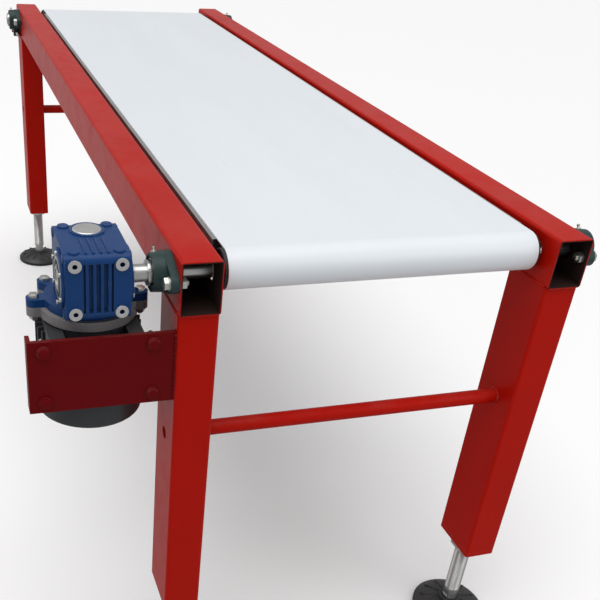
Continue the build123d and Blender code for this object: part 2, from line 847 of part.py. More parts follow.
with BuildPart() as motor_frame:
    with BuildSketch(motor_axis.offset(motor_bottom_z)):
        Circle(motor_body_r)
    extrude(amount=motor_body_length)
    with BuildSketch(motor_axis.offset(motor_bottom_z)):
        with PolarLocations((foot_wall_r + motor_fin_r) / 2, motor_fins):
            Rectangle(motor_fin_r - foot_wall_r, motor_fin_width)
    extrude(amount=motor_body_length - motor_fin_start)
    with BuildSketch(Plane(
        origin=(motor_x, motor_y, terminal_z), x_dir=(0, 1, 0), z_dir=(1, 0, 0)
    )):
        RectangleRounded(
            terminal_width - 2 * terminal_seat_inset,
            terminal_height - 2 * terminal_seat_inset,
            rail_corner,
        )
    extrude(amount=terminal_stand_off)
    for level in (-1, 1):
        foot_z = motor_feet_z + level * motor_foot_spacing_z / 2 - motor_foot_length / 2
        for side in (-1, 1):
            with BuildSketch(motor_axis.offset(foot_z)):
                Polygon(*[(x, side * y) for x, y in foot_outline], align=None)
            extrude(amount=motor_foot_length)
    with BuildSketch(motor_axis.offset(motor_bottom_z + motor_end_wall)):
        Circle(motor_bore_r)
    extrude(amount=motor_body_length, mode=Mode.SUBTRACT)
    with BuildSketch(motor_axis.offset(motor_bottom_z)):
        Circle(motor_shaft_r + running_gap)
    extrude(amount=motor_end_wall, mode=Mode.SUBTRACT)
    with BuildSketch(sole_plane):
        with Locations(*foot_bolts):
            Circle(bracket_bolt_r + bolt_hole_gap)
    extrude(amount=bracket_thickness + motor_foot_thickness, mode=Mode.SUBTRACT)
keep(motor_frame, "motor_frame")

with BuildPart() as stator:
    tube(
        motor_axis.offset(stator_top_z - stator_length),
        motor_bore_r - seat_gap,
        stator_bore_r,
        stator_length,
    )
    tube(
        motor_axis.offset(stator_top_z - stator_length - winding_overhang),
        winding_r1,
        winding_r0,
        stator_length + 2 * winding_overhang,
    )
keep(stator, "stator_core")

fan_top_z = motor_bottom_z - fan_drop
fan_bottom_z = fan_top_z - fan_height
shaft_top_z = gearbox_bottom_z + motor_shaft_engagement - edge_break
rotor_bottom_z = stator_top_z - (stator_length + rotor_length) / 2

with BuildPart() as rotor:
    rod(motor_axis.offset(fan_bottom_z), motor_shaft_r, shaft_top_z - fan_bottom_z)
    rod(motor_axis.offset(rotor_bottom_z), stator_bore_r - air_gap, rotor_length)
keep(rotor, "motor_rotor")

with BuildPart() as fan:
    with BuildSketch(motor_axis.offset(fan_bottom_z)):
        Circle(fan_hub_r)
        with PolarLocations(fan_r / 2, fan_blades):
            Rectangle(fan_r, fan_blade_thickness)
        Circle(motor_shaft_r + seat_gap, mode=Mode.SUBTRACT)
    extrude(amount=fan_height)
    tube(
        motor_axis.offset(fan_top_z - fan_blade_thickness),
        fan_r,
        motor_shaft_r + seat_gap,
        fan_blade_thickness,
    )
keep(fan, "cooling_fan")

fan_cover_inner_r = motor_fin_r + fan_cover_gap
fan_cover_height = fan_cover_depth + fan_cover_lap

with BuildPart() as fan_cover:
    rod(motor_axis.offset(fan_cover_z), fan_cover_inner_r + fan_cover_wall, fan_cover_height)
    fillet(fan_cover.edges().sort_by(Axis.Z)[0], 2 * fan_cover_wall)
    with BuildSketch(motor_axis.offset(fan_cover_z + fan_cover_wall)):
        Circle(fan_cover_inner_r)
    extrude(amount=fan_cover_height, mode=Mode.SUBTRACT)
    with BuildSketch(motor_axis.offset(fan_cover_z)):
        with PolarLocations((grille_inner_r + grille_outer_r) / 2, grille_slots):
            SlotOverall(grille_outer_r - grille_inner_r, grille_slot)
    extrude(amount=fan_cover_wall, mode=Mode.SUBTRACT)
keep(fan_cover, "fan_cover")

terminal_plane = Plane(
    origin=(motor_x + terminal_stand_off, motor_y, terminal_z), x_dir=(0, 1, 0), z_dir=(1, 0, 0)
)
gland_plane = Plane(
    origin=(
        motor_x + terminal_stand_off + terminal_depth / 2, motor_y, terminal_z - terminal_height / 2
    ),
    x_dir=(1, 0, 0),
    z_dir=(0, 0, -1),
)

with BuildPart() as terminal_box:
    with BuildSketch(terminal_plane):
        RectangleRounded(terminal_width, terminal_height, rail_corner)
    extrude(amount=terminal_depth)
    with BuildSketch(terminal_plane.offset(terminal_wall)):
        RectangleRounded(
            terminal_width - 2 * terminal_wall,
            terminal_height - 2 * terminal_wall,
            rail_corner - terminal_wall,
        )
    extrude(amount=terminal_depth, mode=Mode.SUBTRACT)
    with BuildSketch(gland_plane):
        Circle(gland_thread_r + seat_gap)
    extrude(amount=-terminal_wall, mode=Mode.SUBTRACT)
keep(terminal_box, "terminal_box")

with BuildPart() as terminal_lid:
    with BuildSketch(terminal_plane.offset(terminal_depth)):
        RectangleRounded(
            terminal_width + 2 * lid_lip, terminal_height + 2 * lid_lip, rail_corner + lid_lip
        )
    extrude(amount=lid_thickness)
    chamfer(terminal_lid.faces().sort_by(Axis.X)[-1].edges(), edge_break)
keep(terminal_lid, "terminal_box_lid")

with BuildPart() as gland:
    hex_bolt(gland_plane, gland_thread_r, gland_flats, gland_nut, terminal_wall)
    rod(gland_plane.offset(gland_nut), gland_r, gland_length - gland_nut)
    fillet(gland.edges().sort_by(Axis.Z)[0], gland_round)
    with BuildSketch(gland_plane.offset(gland_length)):
        Circle(gland_bore_r)
    extrude(amount=-gland_length - terminal_wall, mode=Mode.SUBTRACT)
keep(gland, "cable_gland")


# --- Bracket that holds the motor's feet to the leg ---
with BuildPart() as bracket:
    with BuildSketch(Plane(
        origin=(bracket_x, (rail_face_y + bracket_end_y) / 2, motor_feet_z),
        x_dir=(0, 1, 0),
        z_dir=(1, 0, 0),
    )):
        Rectangle(bracket_end_y - rail_face_y, bracket_height)
    extrude(amount=bracket_thickness)
    with BuildSketch(Plane.XY.offset(motor_feet_z - bracket_height / 2)):
        with Locations((
            bracket_x + (bracket_thickness + bracket_lip) / 2, bracket_end_y - bracket_thickness / 2
        )):
            Rectangle(bracket_thickness + bracket_lip, bracket_thickness)
    extrude(amount=bracket_height)
    with BuildSketch(sole_plane):
        with Locations(*foot_bolts):
            Circle(bracket_bolt_r + bolt_hole_gap)
    extrude(amount=bracket_thickness, mode=Mode.SUBTRACT)
keep(bracket, "motor_bracket")

with BuildPart() as gearmotor_bolts:
    flange_grip = input_flange + motor_flange
    for dx, dy in ear_places:
        ear_seat = Plane(origin=(motor_x + dx, motor_y + dy, gearbox_bottom_z))
        hex_bolt(
            ear_seat,
            flange_bolt_r,
            flange_bolt_flats,
            flange_bolt_head,
            flange_grip + flange_nut + bolt_tail,
        )
        hex_nut(
            ear_seat.offset(-flange_grip - flange_nut), flange_bolt_r, flange_bolt_flats, flange_nut
        )
    foot_grip = bracket_thickness + motor_foot_thickness
    for y, z in foot_bolts:
        foot_seat = Plane(origin=(bracket_x, motor_y + y, z), x_dir=(0, 1, 0), z_dir=(-1, 0, 0))
        hex_bolt(
            foot_seat, bracket_bolt_r, bolt_flats, bolt_head, foot_grip + bolt_nut + bolt_tail
        )
        hex_nut(foot_seat.offset(-foot_grip - bolt_nut), bracket_bolt_r, bolt_flats, bolt_nut)
keep(gearmotor_bolts, "gearmotor_bolts")


# --- Shift the origin to the middle of the footprint and write every piece ---
boxes = [piece.bounding_box() for piece in pieces]
centre_x = (min(box.min.X for box in boxes) + max(box.max.X for box in boxes)) / 2
centre_y = (min(box.min.Y for box in boxes) + max(box.max.Y for box in boxes)) / 2
origin_shift = Location((-centre_x, -centre_y, 0))

if __name__ == "__main__":
    os.makedirs("parts", exist_ok=True)
    for piece in pieces:
        export_step(piece.moved(origin_shift), f"parts/{piece.label}.step")
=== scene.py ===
import json
from math import cos, pi, radians, sin, sqrt

import bmesh
import bpy
from bpy.props import FloatProperty, FloatVectorProperty, IntProperty, PointerProperty
from bpy.types import Operator, Panel, PropertyGroup
from mathutils import Matrix, Vector


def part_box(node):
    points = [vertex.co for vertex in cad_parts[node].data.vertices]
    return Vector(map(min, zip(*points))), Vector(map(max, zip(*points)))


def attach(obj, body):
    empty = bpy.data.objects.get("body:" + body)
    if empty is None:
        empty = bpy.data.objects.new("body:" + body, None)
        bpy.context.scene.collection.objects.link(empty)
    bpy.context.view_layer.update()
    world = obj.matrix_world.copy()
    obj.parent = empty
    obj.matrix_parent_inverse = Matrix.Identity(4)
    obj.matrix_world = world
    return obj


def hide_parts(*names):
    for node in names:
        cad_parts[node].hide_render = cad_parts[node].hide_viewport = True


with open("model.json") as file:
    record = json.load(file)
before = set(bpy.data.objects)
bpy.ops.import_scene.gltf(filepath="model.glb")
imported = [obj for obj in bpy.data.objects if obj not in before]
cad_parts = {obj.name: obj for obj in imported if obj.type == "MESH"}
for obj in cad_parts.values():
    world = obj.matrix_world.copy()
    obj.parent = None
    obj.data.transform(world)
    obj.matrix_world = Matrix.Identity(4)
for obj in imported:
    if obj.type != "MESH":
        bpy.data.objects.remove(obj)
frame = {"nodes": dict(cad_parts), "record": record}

bl_info = {
    "name": "Belt conveyor section",
    "version": (1, 0, 0),
    "blender": (4, 5, 0),
    "location": "3D View > Sidebar > Conveyor",
    "description": "Paint, welds, fasteners and fittings for a belt conveyor with a worm gearmotor",
    "category": "Object",
}

MM = 0.001
MERGE = 1e-6
FLOOR = (0.93, 0.93, 0.93)
FLOOR_RADIUS = 30
SUN_SPREAD = radians(60)
SOFTBOX_SIZE = 1.5
LIGHT_AIM = Vector((0, 0, 0.5))
UP, ACROSS, ALONG = Vector((0, 0, 1)), Vector((0, 1, 0)), Vector((1, 0, 0))
ENDS = ("drive", "tail")
SIDES = ("left", "right")

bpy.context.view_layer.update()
slot_of = {part["node"]: part["material_slot"] for part in frame["record"]["subparts"]}


def middle(node):
    """The centre of a CAD node's box."""
    low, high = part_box(node)
    return (low + high) / 2


rail_low, rail_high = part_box("left_rail")
right_rail_low, right_rail_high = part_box("right_rail")
gearbox_low, gearbox_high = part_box("gearbox_housing")
motor_axis = middle("worm_cap")
drum_axis = {end: middle(f"{end}_drum_shell") for end in ENDS}


# --- Settings ---
def colour(name, description, default):
    """A colour that a user can change."""
    return FloatVectorProperty(
        name=name, description=description, default=default, subtype="COLOR", size=3, min=0, max=1
    )


def length(name, description, default):
    """A length that a user can change, given in millimetres."""
    return FloatProperty(
        name=name, description=description, default=default * MM, unit="LENGTH", min=0
    )


def share(name, description, default):
    """A strength from none to full that a user can change."""
    return FloatProperty(
        name=name, description=description, default=default, min=0, max=1, subtype="FACTOR"
    )


def number(name, description, default, **limits):
    """A number that a user can change."""
    return FloatProperty(name=name, description=description, default=default, **limits)


def angle(name, description, degrees):
    """An angle that a user can change, given in degrees."""
    return FloatProperty(
        name=name, description=description, default=radians(degrees), unit="ROTATION"
    )


class ConveyorColours(PropertyGroup):
    """Colours of the paints, metals, plastics and the belt."""

    frame: colour("Frame", "Enamel on the rails and legs", (0.47, 0.007, 0.002))
    bracket: colour("Bracket", "Enamel on the motor bracket and its bolts", (0.14, 0.0015, 0.003))
    belt: colour("Belt", "Top cover of the belt", (0.80, 0.84, 0.88))
    gearbox: colour("Gearbox", "Paint on the worm gearbox", (0.003, 0.050, 0.195))
    bearing: colour("Bearing housings", "Paint on the bearing castings", (0.020, 0.050, 0.050))
    motor: colour("Motor", "Paint on the motor frame and terminal box", (0.042, 0.045, 0.050))
    flange: colour("Motor flange", "Cast flange under the gearbox", (0.25, 0.235, 0.24))
    fan_cover: colour("Fan cover", "Paint on the fan cover", (0.035, 0.038, 0.042))
    zinc: colour("Zinc", "Plated bolts and hangers", (0.62, 0.61, 0.57))
    steel: colour("Turned steel", "Shafts, spindles and rollers", (0.56, 0.56, 0.55))
    aluminium: colour("Aluminium", "Bare machined castings", (0.74, 0.74, 0.73))
    bronze: colour("Bronze", "Worm wheel", (0.62, 0.36, 0.13))
    nylon: colour("Black nylon", "Foot pads, fan and gland", (0.022, 0.022, 0.024))
    rubber: colour("Drum rubber", "Lagging on the drums", (0.014, 0.014, 0.014))
    dust: colour("Dust", "Dust that settles on upper faces", (0.36, 0.33, 0.29))


class ConveyorWear(PropertyGroup):
    """How worn and dusty the conveyor is."""

    edge_round: length("Edge rounding", "Radius that edges look rounded to", 1.2)
    edge_wear: share("Edge wear", "How much paint has gone from edges", 0.35)
    dust: share("Dust", "How much dust lies on upper faces", 0.12)
    scuffs: share("Scuffs", "How strong scratches and scuffs are", 0.35)


class ConveyorDetails(PropertyGroup):
    """Sizes of the welds, threads, screws and fittings."""

    weld: length("Weld", "Radius of a weld bead", 3.2)
    weld_ripple: length("Weld ripple", "Distance between two ripples of a bead", 2.6)
    thread_depth: length("Thread depth", "Depth of the spindle thread", 1.1)
    spindle_pitch: length("Spindle pitch", "Pitch of the spindle thread", 3.0)
    screw_pitch: length("Screw pitch", "Pitch of the tension screws", 1.25)
    bolt_pitch: length("Bolt pitch", "Pitch of the bolts through the bearing units", 1.5)
    cover_screw: length("Cover screw", "Head radius of the small screws", 3.4)
    lathe_steps: IntProperty(
        name="Lathe steps", description="Facets around a turned piece", default=40, min=8, max=96
    )


class ConveyorStudio(PropertyGroup):
    """The camera and the lights."""

    lens: number("Lens", "Focal length of the camera", 52.7, unit="CAMERA", min=10)
    shift_x: number("Shift X", "Sideways shift of the lens", 0.133)
    shift_y: number("Shift Y", "Upward shift of the lens", 0.2)
    place: FloatVectorProperty(
        name="Camera", description="Where the camera stands", default=(-2.0343, 0.5387, 1.2912),
        subtype="TRANSLATION", unit="LENGTH", size=3,
    )
    heading: angle("Heading", "Turn of the camera about the vertical", -109.58)
    tilt: angle("Tilt", "Angle of the camera up from straight down", 56.66)
    roll: angle("Roll", "Turn of the camera about its own axis", 4.70)
    overhead: number("Overhead light", "Strength of the wide overhead light", 1.9, min=0)
    softbox: number("Softbox power", "Power of the two side softboxes", 8, unit="POWER")
    sky: number("Sky", "Brightness of the surroundings", 0.44, min=0)
    backdrop: number("Backdrop", "Brightness of the surroundings where they show", 0.9, min=0)


PROPERTY_GROUPS = {
    "conveyor_colours": ConveyorColours,
    "conveyor_wear": ConveyorWear,
    "conveyor_details": ConveyorDetails,
    "conveyor_studio": ConveyorStudio,
}


# --- Shapes ---
def placed(origin, direction):
    """A matrix that moves a shape made along Z to an origin and points it along a direction."""
    turn = Vector(direction).to_track_quat("Z", "Y").to_matrix().to_4x4()
    return Matrix.Translation(Vector(origin)) @ turn


def lathe(profile, steps, closed=False):
    """Spins (radius, height) pairs around Z into a solid, or into a ring if the profile is closed."""
    shape = bmesh.new()
    verts = [shape.verts.new((radius, 0, height)) for radius, height in profile]
    edges = [shape.edges.new(pair) for pair in zip(verts, verts[1:])]
    if closed:
        edges.append(shape.edges.new((verts[-1], verts[0])))
    bmesh.ops.spin(
        shape, geom=[*verts, *edges], cent=(0, 0, 0), axis=UP, angle=2 * pi, steps=steps, use_merge=True
    )
    return shape


def hexagon(flats, low, high, corner=0.0):
    """A hexagonal prism along Z, with its upper edges rounded if asked."""
    shape = bmesh.new()
    bmesh.ops.create_circle(
        shape, cap_ends=True, segments=6, radius=flats / sqrt(3),
        matrix=Matrix.Translation((0, 0, low)),
    )
    made = bmesh.ops.extrude_face_region(shape, geom=shape.faces[:])["geom"]
    top = [item for item in made if isinstance(item, bmesh.types.BMVert)]
    bmesh.ops.translate(shape, vec=(0, 0, high - low), verts=top)
    if corner:
        upper = [edge for edge in shape.edges if all(vert in top for vert in edge.verts)]
        bmesh.ops.bevel(
            shape, geom=upper, offset=corner, offset_type="OFFSET", affect="EDGES", segments=2,
            profile=0.5, material=-1,
        )
    return shape


def block(size, bevel, segments=3):
    """A box centred on the origin with all its edges rounded."""
    shape = bmesh.new()
    bmesh.ops.create_cube(shape, size=1, matrix=Matrix.Diagonal((*size, 1)))
    bmesh.ops.bevel(
        shape, geom=shape.edges[:], offset=bevel, offset_type="OFFSET", affect="EDGES",
        segments=segments, profile=0.5, material=-1,
    )
    return shape


def mm(*points):
    """Profile points given in millimetres."""
    return [(radius * MM, height * MM) for radius, height in points]


class Piece:
    """Gathers shapes into one named piece that rides on a body."""

    def __init__(self, name):
        self.name = name
        self.bm = bmesh.new()

    def add(self, shape, place=None):
        """Closes a shape's poles, faces it outwards, moves it into place and takes it in."""
        bmesh.ops.remove_doubles(shape, verts=shape.verts, dist=MERGE)
        bmesh.ops.recalc_face_normals(shape, faces=shape.faces)
        if place is not None:
            bmesh.ops.transform(shape, matrix=place, verts=shape.verts)
        mesh = bpy.data.meshes.new("shape")
        shape.to_mesh(mesh)
        shape.free()
        self.bm.from_mesh(mesh)
        bpy.data.meshes.remove(mesh)

    def turned(self, profile, steps, place=None, closed=False):
        """Takes in a turned solid, or a turned ring if the profile is closed."""
        self.add(lathe(profile, steps, closed), place)

    def finish(self, body, slot, replaced=(), smooth=35):
        """Makes the object, gives it its finish and lets it ride on a body."""
        if not self.bm.faces:
            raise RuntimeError(f"{self.name} has no faces")
        mesh = bpy.data.meshes.new(self.name)
        self.bm.to_mesh(mesh)
        self.bm.free()
        mesh.shade_smooth()
        mesh.set_sharp_from_angle(angle=radians(smooth))
        piece = bpy.data.objects.new(self.name, mesh)
        bpy.context.scene.collection.objects.link(piece)
        mesh.materials.append(bpy.data.materials[slot])
        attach(piece, body)
        if replaced:
            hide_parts(*replaced)
        return piece


def thread(root, crest, low, high, pitch):
    """Profile points of a threaded length between two heights."""
    count = max(1, round((high - low) / pitch))
    step = (high - low) / count
    points = [(root, low)]
    for turn in range(count):
        points += [(crest, low + (turn + 0.4) * step), (crest, low + (turn + 0.6) * step)]
        points.append((root, low + (turn + 1) * step))
    return points


def weld_bead(piece, start, end):
    """A straight rippled bead, half sunk in the corner that it fills."""
    details = bpy.context.scene.conveyor_details
    run = Vector(end) - Vector(start)
    ripples = max(2, round(run.length / details.weld_ripple))
    step = run.length / ripples
    radius = details.weld
    profile = [(0, 0), (radius * 0.6, 0)]
    for ripple in range(ripples):
        swell = 1 + 0.07 * sin(ripple * 2.3)
        profile.append((radius * swell, (ripple + 0.45) * step))
        profile.append((radius * 0.86, (ripple + 1) * step))
    profile[-1] = (radius * 0.6, run.length)
    profile.append((0, run.length))
    piece.turned(profile, 10, placed(start, run))


def ring_weld(piece, centre, axis, radius):
    """A bead around a round bar, laid as short runs."""
    runs = 12
    place = placed(centre, axis)
    corners = [
        place @ Vector((radius * cos(2 * pi * i / runs), radius * sin(2 * pi * i / runs), 0))
        for i in range(runs)
    ]
    for start, end in zip(corners, corners[1:] + corners[:1]):
        weld_bead(piece, start, end)


def cap_screw(piece, place, radius, height):
    """A round screw head with a hexagon socket, sunk a little in its seat."""
    socket = radius * 0.5
    profile = [
        (0, -height * 0.4), (radius, -height * 0.4), (radius, height * 0.8), (radius * 0.86, height),
        (socket, height), (socket * 0.96, height * 0.35), (0, height * 0.3),
    ]
    piece.turned(profile, 24, place)


def shank(length, tip, root, crest, lead, pitch):
    """Profile of a threaded shank below its seat, with a plain tip."""
    return [(0, -length), (tip, -length), *thread(root, crest, -length + lead, 0, pitch), (0, 0)]


def hex_bolt(piece, place, flats, head, radius, pitch, reach, nut_at, nut):
    """A bolt whose head stands on its seat, with a threaded shank and a nut below."""
    crown = head * 1.04
    root = radius * 0.88
    piece.add(hexagon(flats, 0, head, flats * 0.07), place)
    piece.turned([(0, head), (flats * 0.36, head), (flats * 0.34, crown), (0, crown)], 24, place)
    piece.turned(shank(reach, root * 0.85, root, radius, pitch / 2, pitch), 20, place)
    piece.add(hexagon(flats, -nut_at - nut, -nut_at), place)


# --- Shader networks ---
VECTOR_SOCKETS = ("Vector", "Direction", "Normal")
WEAVE = 1.1 * MM
RAIL_SKIN = 1.5 * MM
BARE_PAD_DEPTH = 0.4 * MM
BARE_FACE_DEPTH = 0.3 * MM
BARE_BORE_RADIUS = 30 * MM


class Network:
    """Builds a node tree out of numbers, colours and the outputs of nodes."""

    def __init__(self, tree):
        self.tree = tree

    def node(self, kind):
        """A new shader node."""
        return self.tree.nodes.new(f"ShaderNode{kind}")

    def feed(self, socket, value):
        """Links a socket to a node's output, or sets its value."""
        if isinstance(value, bpy.types.NodeSocket):
            self.tree.links.new(value, socket)
        else:
            socket.default_value = value

    def math(self, operation, *values, kind="Math"):
        """A Math node with its inputs linked or set, returning its output."""
        node = self.node(kind)
        node.operation = operation
        for socket, value in zip(node.inputs, values):
            self.feed(socket, value)
        return node.outputs["Value" if operation == "DOT_PRODUCT" else 0]

    def times(self, first, second):
        """A product."""
        return self.math("MULTIPLY", first, second)

    def plus(self, first, second):
        """A sum."""
        return self.math("ADD", first, second)

    def minus(self, first, second):
        """A difference."""
        return self.math("SUBTRACT", first, second)

    def distance(self, first, second):
        """A difference without its sign."""
        return self.math("ABSOLUTE", self.minus(first, second))

    def axes(self, vector):
        """The X, Y and Z parts of a vector."""
        node = self.node("SeparateXYZ")
        self.feed(node.inputs[0], vector)
        return node.outputs

    def noise(self, vector, scale, detail=4, roughness=0.55, distortion=0.0):
        """A Noise texture's factor."""
        node = self.node("TexNoise")
        for label, value in (
            ("Vector", vector), ("Scale", scale), ("Detail", detail), ("Roughness", roughness),
            ("Distortion", distortion),
        ):
            self.feed(node.inputs[label], value)
        return node.outputs[0]

    def spread(self, value, low, high):
        """Maps low..high to 0..1 with a soft step."""
        node = self.node("MapRange")
        node.interpolation_type = "SMOOTHSTEP"
        for label, given in (("Value", value), ("From Min", low), ("From Max", high)):
            self.feed(node.inputs[label], given)
        return node.outputs["Result"]

    def stretched(self, vector, scale):
        """Coordinates stretched differently along each axis."""
        node = self.node("Mapping")
        self.feed(node.inputs["Vector"], vector)
        node.inputs["Scale"].default_value = scale
        return node.outputs["Vector"]


class Group(Network):
    """A shared node group, with a Vector input before its own."""

    def __init__(self, name, inputs, outputs):
        super().__init__(bpy.data.node_groups.new(name, "ShaderNodeTree"))
        self.socket("Vector", "INPUT")
        for label, default in inputs.items():
            self.socket(label, "INPUT").default_value = default
        for label in outputs:
            self.socket(label, "OUTPUT")
        self.given = self.tree.nodes.new("NodeGroupInput").outputs
        self.made = self.tree.nodes.new("NodeGroupOutput").inputs

    def socket(self, label, side):
        """A new socket of the group."""
        kind = "Vector" if label in VECTOR_SOCKETS else "Float"
        return self.tree.interface.new_socket(label, in_out=side, socket_type=f"NodeSocket{kind}")

    def give(self, **values):
        """Feeds the group's outputs."""
        for label, value in values.items():
            self.feed(self.made[label], value)


def build_edge_highlight_and_wear():
    """Rounded normals and a mask along convex edges, broken up by noise."""
    net = Group(
        "rounded_edges", {"Radius": 0.001, "Amount": 0.4, "Break up": 60.0}, ("Normal", "Edge", "Worn")
    )
    bevel = net.node("Bevel")
    bevel.samples = 4
    net.feed(bevel.inputs["Radius"], net.given["Radius"])
    rounded = bevel.outputs["Normal"]
    flat = net.node("NewGeometry").outputs["Normal"]
    bend = net.minus(1.0, net.math("DOT_PRODUCT", rounded, flat, kind="VectorMath"))
    # Mask along edges; the paints and metals lay a painted highlight with it.
    edge = net.spread(bend, 0.01, 0.12)
    grain = net.noise(net.given["Vector"], net.given["Break up"], 5, 0.7)
    limit = net.times(net.minus(1.0, net.given["Amount"]), 0.62)
    net.give(Normal=rounded, Edge=edge, Worn=net.times(edge, net.spread(grain, limit, 0.78)))


def build_dust():
    """A patchy mask on faces that look up."""
    net = Group("settled_dust", {"Amount": 0.2}, ("Dust",))
    source = net.given["Vector"]
    upward = net.spread(net.axes(net.node("NewGeometry").outputs["Normal"])["Z"], 0.1, 0.95)
    patches = net.spread(net.noise(source, 9.0, 6, 0.65), 0.35, 0.75)
    specks = net.spread(net.noise(source, 420.0, 2, 0.6), 0.45, 0.7)
    lying = net.times(net.times(upward, patches), net.math("MULTIPLY_ADD", specks, 0.35, 0.45))
    dust = net.times(lying, net.given["Amount"])
    dust.node.use_clamp = True
    net.give(Dust=dust)


def build_scuffs():
    """Fine scratches in three directions, and soft rubbed patches."""
    net = Group("scuffs", {"Amount": 0.3}, ("Scratches", "Rubbed"))
    source, amount = net.given["Vector"], net.given["Amount"]
    scratches = [
        net.spread(net.noise(net.stretched(source, scale), 1.0, 3, 0.6, 0.4), 0.66, 0.72)
        for scale in ((9, 420, 420), (380, 14, 60), (60, 300, 8))
    ]
    crossing = net.math("MAXIMUM", net.math("MAXIMUM", scratches[0], scratches[1]), scratches[2])
    where = net.spread(net.noise(source, 6.0, 3), 0.45, 0.7)
    rubbed = net.spread(net.noise(source, 22.0, 6, 0.7, 0.6), 0.42, 0.72)
    net.give(Scratches=net.times(net.times(crossing, where), amount), Rubbed=net.times(rubbed, amount))


def build_enamel_skin():
    """Height of sprayed enamel: orange peel with slow waves and a few specks of dirt under it."""
    net = Group("enamel_skin", {}, ("Height", "Shade"))
    source = net.given["Vector"]
    peel = net.noise(source, 520.0, 2, 0.5)
    waves = net.noise(source, 46.0, 3, 0.5)
    specks = net.spread(net.noise(source, 900.0, 1, 0.5), 0.74, 0.8)
    height = net.plus(net.times(peel, 0.5), net.times(waves, 0.9))
    net.give(Height=net.plus(height, specks), Shade=net.noise(source, 3.2, 4, 0.6))


def build_casting_skin():
    """Height of a sand or die cast surface: pitted grain over slow lumps."""
    net = Group("casting_skin", {}, ("Height", "Pits"))
    source = net.given["Vector"]
    grain = net.noise(source, 620.0, 4, 0.7)
    lumps = net.noise(source, 90.0, 3, 0.55)
    cells = net.node("TexVoronoi")
    net.feed(cells.inputs["Vector"], source)
    cells.inputs["Scale"].default_value = 380.0
    pits = net.spread(cells.outputs["Distance"], 0.0, 0.35)
    height = net.plus(net.times(grain, 0.7), net.times(pits, 0.25))
    net.give(Height=net.plus(height, lumps), Pits=net.minus(1.0, pits))


def build_machined_skin():
    """Fine tool marks along three axes, for turned, drawn and ground metal."""
    net = Group("machined_skin", {"Direction": (1, 1, 1)}, ("Height", "Tone"))
    source = net.given["Vector"]
    drawn = net.math("MULTIPLY", source, net.given["Direction"], kind="VectorMath")
    marks = net.noise(drawn, 1.0, 5, 0.75)
    blotches = net.noise(source, 30.0, 5, 0.65)
    net.give(Height=marks, Tone=net.plus(net.times(marks, 0.5), net.times(blotches, 0.5)))


def build_belt_skin():
    """Height and tone of a smooth belt cover over its fabric, worn lightly along its length."""
    net = Group("belt_skin", {}, ("Height", "Tone", "Marks"))
    source = net.given["Vector"]
    axes = net.axes(source)
    warp, weft = [net.math("SINE", net.times(axes[axis], 2 * pi / WEAVE)) for axis in "XY"]
    matt = net.noise(source, 1400.0, 2, 0.6)
    waves = net.noise(net.stretched(source, (2.5, 11, 11)), 1.0, 3, 0.5)
    height = net.plus(net.times(net.times(warp, weft), 0.10), net.times(matt, 0.25))
    streaks = net.noise(net.stretched(source, (5, 160, 160)), 1.0, 4, 0.65)
    net.give(
        Height=net.plus(height, net.times(waves, 0.8)),
        Tone=net.noise(net.stretched(source, (1.6, 9, 9)), 1.0, 5, 0.6),
        Marks=net.spread(streaks, 0.56, 0.8),
    )


GROUP_BUILDERS = (
    build_edge_highlight_and_wear, build_dust, build_scuffs, build_enamel_skin, build_casting_skin,
    build_machined_skin, build_belt_skin,
)


# --- Materials ---
def shade(rgb, factor):
    """A colour made darker or lighter."""
    return (*[min(1.0, part * factor) for part in rgb], 1.0)


class Finish(Network):
    """A material under construction, with its coordinates and shader."""

    def __init__(self, name):
        self.material = bpy.data.materials.new(name)
        self.material.use_nodes = True
        super().__init__(self.material.node_tree)
        self.shader = self.tree.nodes["Principled BSDF"]
        self.where = self.node("TexCoord").outputs["Object"]

    def group(self, name, **values):
        """Places a shared group, fed with Object coordinates and its own values."""
        node = self.node("Group")
        node.node_tree = bpy.data.node_groups[name]
        self.feed(node.inputs["Vector"], self.where)
        for label, value in values.items():
            self.feed(node.inputs[label.replace("_", " ")], value)
        return node.outputs

    def mix(self, factor, first, second):
        """Mixes two colours."""
        node = self.node("Mix")
        node.data_type = "RGBA"
        for index, value in ((0, factor), (6, first), (7, second)):
            self.feed(node.inputs[index], value)
        return node.outputs[2]

    def over(self, base, mask, amount, colour):
        """Lays a colour over another where a mask says, as strongly as an amount."""
        return self.mix(self.times(mask, amount), base, colour)

    def blend_value(self, factor, first, second):
        """Mixes two numbers."""
        node = self.node("Mix")
        for index, value in ((0, factor), (2, first), (3, second)):
            self.feed(node.inputs[index], value)
        return node.outputs[0]

    def bump(self, height, strength, distance, normal):
        """Adds relief to the shader's normal."""
        node = self.node("Bump")
        for label, value in (
            ("Strength", strength), ("Distance", distance), ("Height", height), ("Normal", normal)
        ):
            self.feed(node.inputs[label], value)
        self.set(Normal=node.outputs["Normal"])

    def set(self, **values):
        """Feeds the shader's sockets."""
        for label, value in values.items():
            self.feed(self.shader.inputs[label.replace("_", " ")], value)

    def fed_by(self, label):
        """The output that feeds one of the shader's sockets."""
        return self.shader.inputs[label].links[0].from_socket


